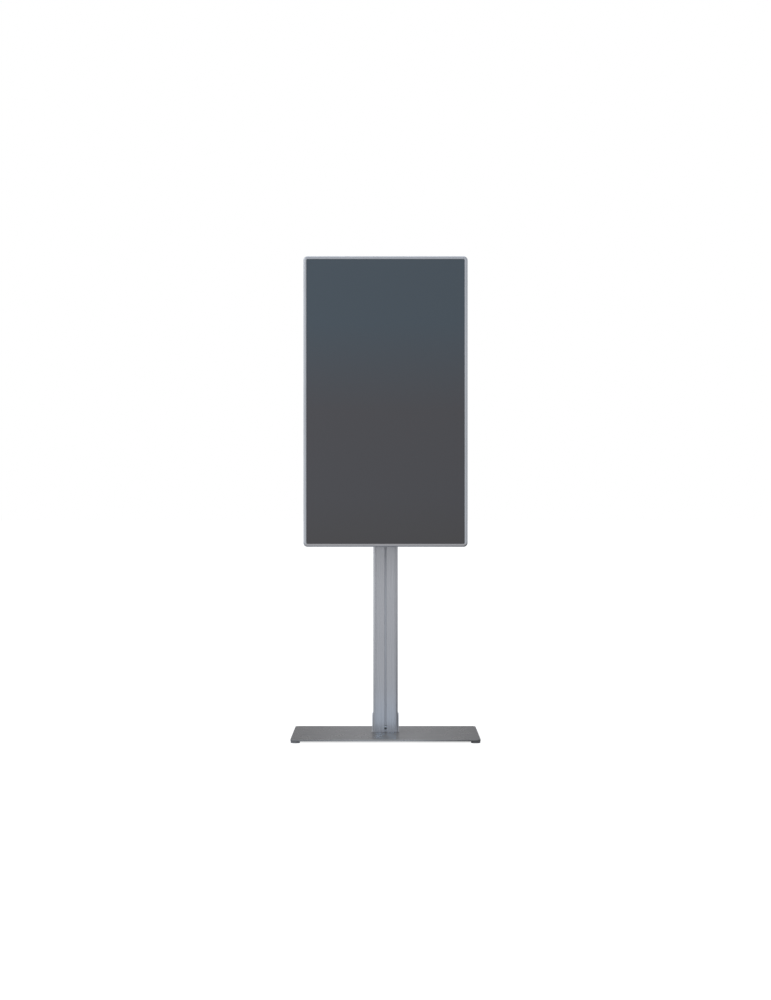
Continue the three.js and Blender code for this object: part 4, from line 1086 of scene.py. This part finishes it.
# screws of the rear cover
p = Piece(HEAD)
spots = [(x, z) for x in (-326, 326) for z in (-500, -300, -100, 100, 300, 500)] + [(x, z) for z in (-604, 604) for x in (-300, -100, 100, 300)]
for x, z in spots:
    q = Piece(HEAD)
    q.lathe(MAT["black_oxide"], [(0, 0.2), (1.6, 0.2), (2.6, 0.55), (3.3, 1.15), (3.5, 1.9), (3.5, 2.2), (0, 2.2)], "-y", (x, 47.1, z), 28)
    c1 = Piece(HEAD); c1.box(MAT["black_oxide"], (x - 2.0, 46.1, z - 0.4), (x + 2.0, 48.5, z + 0.4), 0, 1)
    c2 = Piece(HEAD); c2.box(MAT["black_oxide"], (x - 0.4, 46.1, z - 2.0), (x + 0.4, 48.5, z + 2.0), 0, 1)
    q.cut(c1, c2)
    me = bpy.data.meshes.new("tmp"); q.bm.to_mesh(me); q.bm.free()
    for poly in me.polygons:
        poly.material_index = p._index(MAT["black_oxide"])
    p.bm.from_mesh(me); bpy.data.meshes.remove(me)
p.done("RearCoverScrews", "head", slot="black_oxide")

# service door
c_lo, c_hi = -357 - 85, -357 + 85
x0, x1, z0, z1 = 76.5, 255.5, -481.5, -232.5
out = [(x0, z0), (x1, z0), (x1, c_lo - 26), (x1 - 2.2, c_lo - 26), (x1 - 2.2, c_lo + 26), (x1, c_lo + 26),
       (x1, c_hi - 26), (x1 - 2.2, c_hi - 26), (x1 - 2.2, c_hi + 26), (x1, c_hi + 26), (x1, z1), (x0, z1)]
out = fillet(out, [3.5, 3.5, 0.4, 0.4, 0.4, 0.4, 0.4, 0.4, 0.4, 0.4, 3.5, 3.5], 6)
p = Piece(HEAD)
p.plate(MAT["paint_dark"], out, [circle(8.35, 40, 92, -357)], 70, 72, 0.6, XZ, 2)
# folded stiffening lip behind the door's edges
n_lo, n_hi = -357 - 31, -357 + 11      # notch where the cam of the lock swings
lip = fillet([(82, n_lo), (82, -476), (246, -476), (246, -238), (82, -238), (82, n_hi),
              (83.6, n_hi), (83.6, -239.6), (244.4, -239.6), (244.4, -474.4), (83.6, -474.4), (83.6, n_lo)],
             [0, 4, 4, 4, 4, 0, 0, 3, 3, 3, 3, 0], 6)
p.plate(MAT["paint_dark"], lip, [], 65.5, 70.1, 0.3, XZ, 1)
for c in (c_lo, c_hi):
    p.box(MAT["paint_dark"], (248, 71.6, c - 15), (256.4, 75.0, c + 15), 0.8, 2)
    p.lathe(MAT["zinc"], [(0, -20.5), (0.9, -20.5), (1.2, -20.1), (1.2, -15), (2.2, -15), (2.5, -14.6), (2.5, 14.6), (2.2, 15), (1.2, 15), (1.2, 20.1), (0.9, 20.5), (0, 20.5)],
            "+z", (257, 75, c), 28)
p.done("ServiceDoor", "door", "service_door", slot="head_paint")

# cam lock
p = Piece(HEAD)
LX, LZ = 92, -357
ring = [(5.3, 72.3), (8.0, 72.2), (9.6, 72.3), (10.0, 72.8), (9.7, 73.7), (8.2, 74.5), (6.4, 74.6), (5.3, 74.2)]
rings = []
for i in range(56):
    a = 2 * math.pi * i / 56
    rings.append([(LX + r * math.cos(a), d, LZ + r * math.sin(a)) for r, d in ring])
v, f = sweep_loop(rings, True)
p.raw(MAT["nickel"], v, f)
key = box2(LX - 0.8, LZ - 3.6, LX + 0.8, LZ + 3.6, 0.4, 3)
p.plate(MAT["nickel"], circle(5.2, 44, LX, LZ), [key], 70.4, 73.9, 0.3, XZ, 2)
p.lathe(MAT["nickel"], [(0, 56.6), (7.4, 56.6), (8, 57.2), (8, 70.2), (0, 70.2)], "+y", (LX, 0, LZ), 40)
for i in range(7):
    d = 58.0 + i * 1.6
    p.lathe(MAT["nickel"], [(0, d), (8.05, d), (8.25, d + 0.4), (8.05, d + 0.8), (0, d + 0.8)], "+y", (LX, 0, LZ), 40) if 58 <= d < 66 else None
p.plate(MAT["zinc"], fillet([(LX - 6, LZ - 26), (LX + 6, LZ - 26), (LX + 6, LZ), (LX - 6, LZ)], [3, 3, 0.5, 0.5], 5), [], 66.5, 69.2, 0.4, XZ, 2)
p.done("DoorLock", "lock", "door_lock", slot="nickel")

# connection panel and what is in it
IX, IZ = -218, -407
PX, PZ = -130, -432
BX, BZ = -96, -362
p = Piece(HEAD)
p.plate(MAT["paint_black"], rrect(179.4, 149.4, 3.7, 6, -166, -407),
        [rrect(28.6, 54.6, 2, 4, IX, IZ), circle(6.4, 40, BX, BZ), box2(PX - 45.3, PZ - 8.3, PX + 45.3, PZ + 8.3, 0.8, 3)], 70, 72, 0.5, XZ, 2)
for x, z in ((-249, -339), (-83, -339), (-249, -475), (-83, -475)):
    q = Piece(HEAD)
    q.lathe(MAT["black_oxide"], [(0, 0.2), (1.4, 0.2), (2.3, 0.5), (3.0, 1.1), (3.1, 1.9), (0, 1.9)], "-y", (x, 73.8, z), 26)
    c1 = Piece(HEAD); c1.box(MAT["black_oxide"], (x - 1.8, 73.0, z - 0.35), (x + 1.8, 75.5, z + 0.35), 0, 1)
    q.cut(c1)
    me = bpy.data.meshes.new("tmp"); q.bm.to_mesh(me); q.bm.free()
    i = p._index(MAT["black_oxide"])
    for poly in me.polygons:
        poly.material_index = i
    p.bm.from_mesh(me); bpy.data.meshes.remove(me)
p.done("IoPanel", "head", "io_panel", slot="io_paint")

p = Piece(HEAD)
sock = fillet([(-12.3, -8), (12.3, -8), (12.3, 4), (8, 8.4), (-8, 8.4), (-12.3, 4)], 1.0, 4)
sock = [(IX + x, IZ - 12 + z) for x, z in sock]
win = box2(IX - 11, IZ + 3, IX + 11, IZ + 23, 0.8, 3)
p.plate(MAT["black"], rrect(34, 60, 3, 8, IX, IZ), [sock, win], 72.3, 73.9, 0.5, XZ, 3)
p.plate(MAT["black"], rrect(28, 54, 2, 4, IX, IZ), [sock, win], 62.1, 72.3, 0.0, XZ, 0)
p.plate(MAT["black"], rrect(28, 54, 2, 4, IX, IZ), [sock], 56.1, 62.0, 0.0, XZ, 0)
p.plate(MAT["black"], rrect(28, 54, 2, 4, IX, IZ), [], 48, 56, 0.3, XZ, 1)
for x, z in ((-7, -1.8), (7, -1.8), (0, 2.2)):
    p.box(MAT["nickel"], (IX + x - 1, 55.5, IZ - 12 + z - 2), (IX + x + 1, 69.5, IZ - 12 + z + 2), 0.5, 2)
p.done("PowerInlet", "head", "power_inlet", slot="black_plastic")

tilt = math.radians(9)


def rocker_pt(z, d):
    return (68 + d * math.cos(tilt) + z * math.sin(tilt), IZ + 13 + z * math.cos(tilt) - d * math.sin(tilt))


p = Piece(HEAD)
shape = fillet([rocker_pt(z, d) for z, d in ((-8.4, -3), (8.4, -3), (8.4, 7.2), (0, 6.0), (-8.4, 7.2))], [0.6, 0.6, 0.9, 4.0, 0.9], 5)
p.plate(MAT["black"], shape, [], IX - 10.6, IX + 10.6, 0.6, YZ, 2)
# on and off marks: a bar and a ring, just proud of the two faces
for z, kind in ((-4.6, "bar"), (4.6, "ring")):
    slope = math.atan2(1.2, 8.4) * (1 if z > 0 else -1)
    d = 6.0 + abs(z) * 1.2 / 8.4
    y, zz = rocker_pt(z, d)
    m = Matrix.Translation(Vector((IX, y, zz)) * MM) @ Matrix.Rotation(-tilt - slope, 4, "X")
    if kind == "bar":
        p.box(MAT["white"], (-0.35, -0.12, -2.0), (0.35, 0.10, 2.0), 0.08, 1, m)
    else:
        rings = []
        for i in range(36):
            a = 2 * math.pi * i / 36
            rings.append([((1.75 + u) * math.cos(a), h, (1.75 + u) * math.sin(a)) for u, h in ((-0.3, -0.12), (0.3, -0.12), (0.3, 0.1), (-0.3, 0.1))])
        v, f = sweep_loop(rings, True)
        p.raw(MAT["white"], v, f, m)
p.done("RockerSwitch", "rocker", "rocker_switch", slot="black_plastic")

p = Piece(HEAD)
p.lathe(MAT["nickel"], [(0, 67.3), (7.6, 67.3), (8, 67.6), (8, 69.3), (7.7, 69.6), (6, 69.6), (6, 74.3), (5.6, 74.9), (4.8, 75.15), (4.4, 74.95), (3.2, 74.8), (0, 74.75)], "+y", (BX, 0, BZ), 48)
p.done("StandbyButton", "button", "standby_button", slot="nickel")

p = Piece(HEAD)
socks = [(-34, 12, 11), (-12, 15, 6), (12, 13.4, 6), (34, 13.4, 6)]
outl = [box2(PX + x - w / 2, PZ - h / 2, PX + x + w / 2, PZ + h / 2, 0.5, 2) for x, w, h in socks]
p.plate(MAT["nickel"], box2(PX - 45, PZ - 8, PX + 45, PZ + 8, 0.8, 3), outl, 59, 71.7, 0.25, XZ, 1)
p.plate(MAT["black"], box2(PX - 45, PZ - 8, PX + 45, PZ + 8, 0.8, 3), [], 52, 59, 0.3, XZ, 1)
for i in range(8):
    x = PX - 34 - 4.4 + i * 8.8 / 7
    p.box(MAT["gold"], (x - 0.25, 59.2, PZ + 2.6), (x + 0.25, 69, PZ + 3.4), 0.1, 1)
p.box(MAT["black"], (PX - 12 - 5.6, 58.8, PZ - 0.7), (PX - 12 + 5.6, 70, PZ + 0.7), 0.2, 1)
for x in (12, 34):
    p.box(MAT["white"], (PX + x - 5.6, 58.8, PZ + 0.3), (PX + x + 5.6, 69.5, PZ + 2.0), 0.2, 1)
p.done("DataPortBlock", "head", "data_port_block", slot="nickel")

# --------------------------------------------------------------------------
# electronics behind the cover
# --------------------------------------------------------------------------
T = 21.3


def component(p, mat, x0, x1, z0, z1, h, bevel=0.6, base=4.0):
    p.box(mat, (x0, T + base - 0.05, z0), (x1, T + h, z1), bevel, 2)


p = Piece(HEAD)
p.plate(MAT["pcb"], box2(-165, 250, 75, 385, 2, 4), [circle(2, 16, a, b) for a in (-160, 70) for b in (255, 380)], T, T + 4, 0.2, XZ, 1)
for i in range(9):
    component(p, MAT["zinc"], -150 + i * 6.2, -146.6 + i * 6.2, 265, 330, 34, 0.4)
component(p, MAT["black"], -80, -40, 270, 318, 26, 1.5)
component(p, MAT["gold"], -78, -42, 324, 372, 22, 2.0)
for x, z, r, h in ((-14, 274, 9, 30), (8, 274, 9, 30), (-14, 298, 9, 30), (8, 298, 9, 30), (44, 274, 6.5, 18), (44, 292, 6.5, 18)):
    p.lathe(MAT["black"], [(0, 4), (r, 4), (r, h - 2), (r - 1, h - 1), (r - 1.4, h), (0, h)], "+y", (x, T, z), 28)
component(p, MAT["white"], -25, 55, 330, 344, 14, 0.8)
component(p, MAT["black"], -25, 10, 350, 372, 20, 1.0)
component(p, MAT["zinc"], 16, 55, 350, 372, 22, 1.0)
p.done("PowerSupply", "head", "power_supply", slot="board_green")

p = Piece(HEAD)
p.plate(MAT["pcb"], box2(-150, -190, 60, -20, 2, 4), [circle(2, 16, a, b) for a in (-145, 55) for b in (-185, -25)], T, T + 4, 0.2, XZ, 1)
component(p, MAT["zinc"], -80, -20, -140, -80, 8, 0.4)
for i in range(12):
    component(p, MAT["zinc"], -79 + i * 5, -77.4 + i * 5, -139, -81, 20, 0.3, 7.5)
component(p, MAT["black"], -140, -100, -180, -120, 8, 0.4)
component(p, MAT["black"], 0, 45, -180, -150, 12, 0.5)
component(p, MAT["white"], -140, -60, -45, -32, 12, 0.6)
for i in range(5):
    component(p, MAT["black"], -140 + i * 16, -129 + i * 16, -75, -62, 6, 0.3)
for x, z in ((10, -60), (24, -60), (38, -60), (10, -80), (24, -80)):
    p.lathe(MAT["zinc"], [(0, 4), (4, 4), (4, 10.6), (3.4, 11.4), (0, 11.5)], "+y", (x, T, z), 24)
p.done("MainBoard", "head", "main_board", slot="board_green")

p = Piece(HEAD)
p.plate(MAT["pcb"], box2(-50, -600, 50, -560, 1.5, 4), [], T, T + 4, 0.2, XZ, 1)
component(p, MAT["black"], -26, -6, -590, -570, 6, 0.3)
component(p, MAT["white"], 10, 40, -590, -582, 9.5, 0.5)
for i in range(6):
    component(p, MAT["black"], 8 + i * 6, 12 + i * 6, -575, -571, 5.6, 0.2)
p.done("TouchController", "head", "touch_controller", slot="board_green")

# media player: finned black case
p = Piece(HEAD)
p.box(MAT["black"], (84, T, -470), (248, T + 24, -260), 2.0, 3)
for i in range(25):
    x = 88 + i * 6.42
    p.box(MAT["black"], (x, T + 23, -466), (x + 2.4, T + 32.6, -264), 0.6, 2)
for x in (90, 236):
    for z in (-462, -274):
        p.lathe(MAT["nickel"], [(0, 0), (3.2, 0), (3.4, 1.0), (2.4, 1.9), (0, 2.0)], "+y", (x + 3, T + 23.6, z + 3), 24)
p.done("MediaPlayer", "head", "media_player", slot="black_plastic")

for name, s in (("left", -1), ("right", 1)):
    p = Piece(HEAD)
    a, b = sorted((s * 140, s * 260))
    p.box(MAT["black"], (a, T, -604), (b, T + 16, -554), 2.0, 3)
    for cx in (a + 32, b - 32):
        p.lathe(MAT["black_soft"], [(0, 16.5), (5, 17.6), (8, 16.4), (14, 17.0), (17, 18.6), (19.5, 18.0), (20, 15.5), (0, 15.5)], "+y", (cx, T, -579), 44)
        p.lathe(MAT["zinc"], [(0, 15.5), (21.5, 15.5), (21.5, 17.2), (20.6, 17.6), (20.0, 17.0), (0, 17.0)], "+y", (cx, T - 0.3, -579), 44)
    p.done(f"Speaker_{name}", "head", f"speaker_{name}", slot="black_plastic")

# any CAD node still shown gets its slot's material
SLOT_MAT = {"base_paint": "base", "cheek_paint": "cheek", "column_alu": "column", "frame_alu": "frame_z", "slot_grey": "strip", "zinc_block": "zinc", "black_oxide": "black_oxide",
            "glide_rubber": "glide", "cover_glass": "glass", "touch_film": "film", "gasket_foam": "black_soft", "panel_glass": "panel", "white_plastic": "white",
            "head_paint": "paint_dark", "bracket_paint": "paint_black", "zinc_steel": "zinc", "board_green": "pcb", "black_plastic": "black", "io_paint": "paint_black", "nickel": "nickel"}
slots = {s["node"]: s["material_slot"] for s in frame["record"].get("subparts", [])}
for n, o in NODE.items():
    if not o.hide_render:
        m = MAT[SLOT_MAT[slots[n]]]
        for sl in o.material_slots:
            sl.material = m
        if not o.material_slots:
            o.data.materials.append(m)

lo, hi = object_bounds()

# the low fill lights the column's foot only, not the base in front of it
lit = bpy.data.collections.new("foot_fill_lights")
for name in ("Column", "SlotStrip", "SlotEndBlock"):
    lit.objects.link(bpy.data.objects[name])
foot_fill.light_linking.receiver_collection = lit
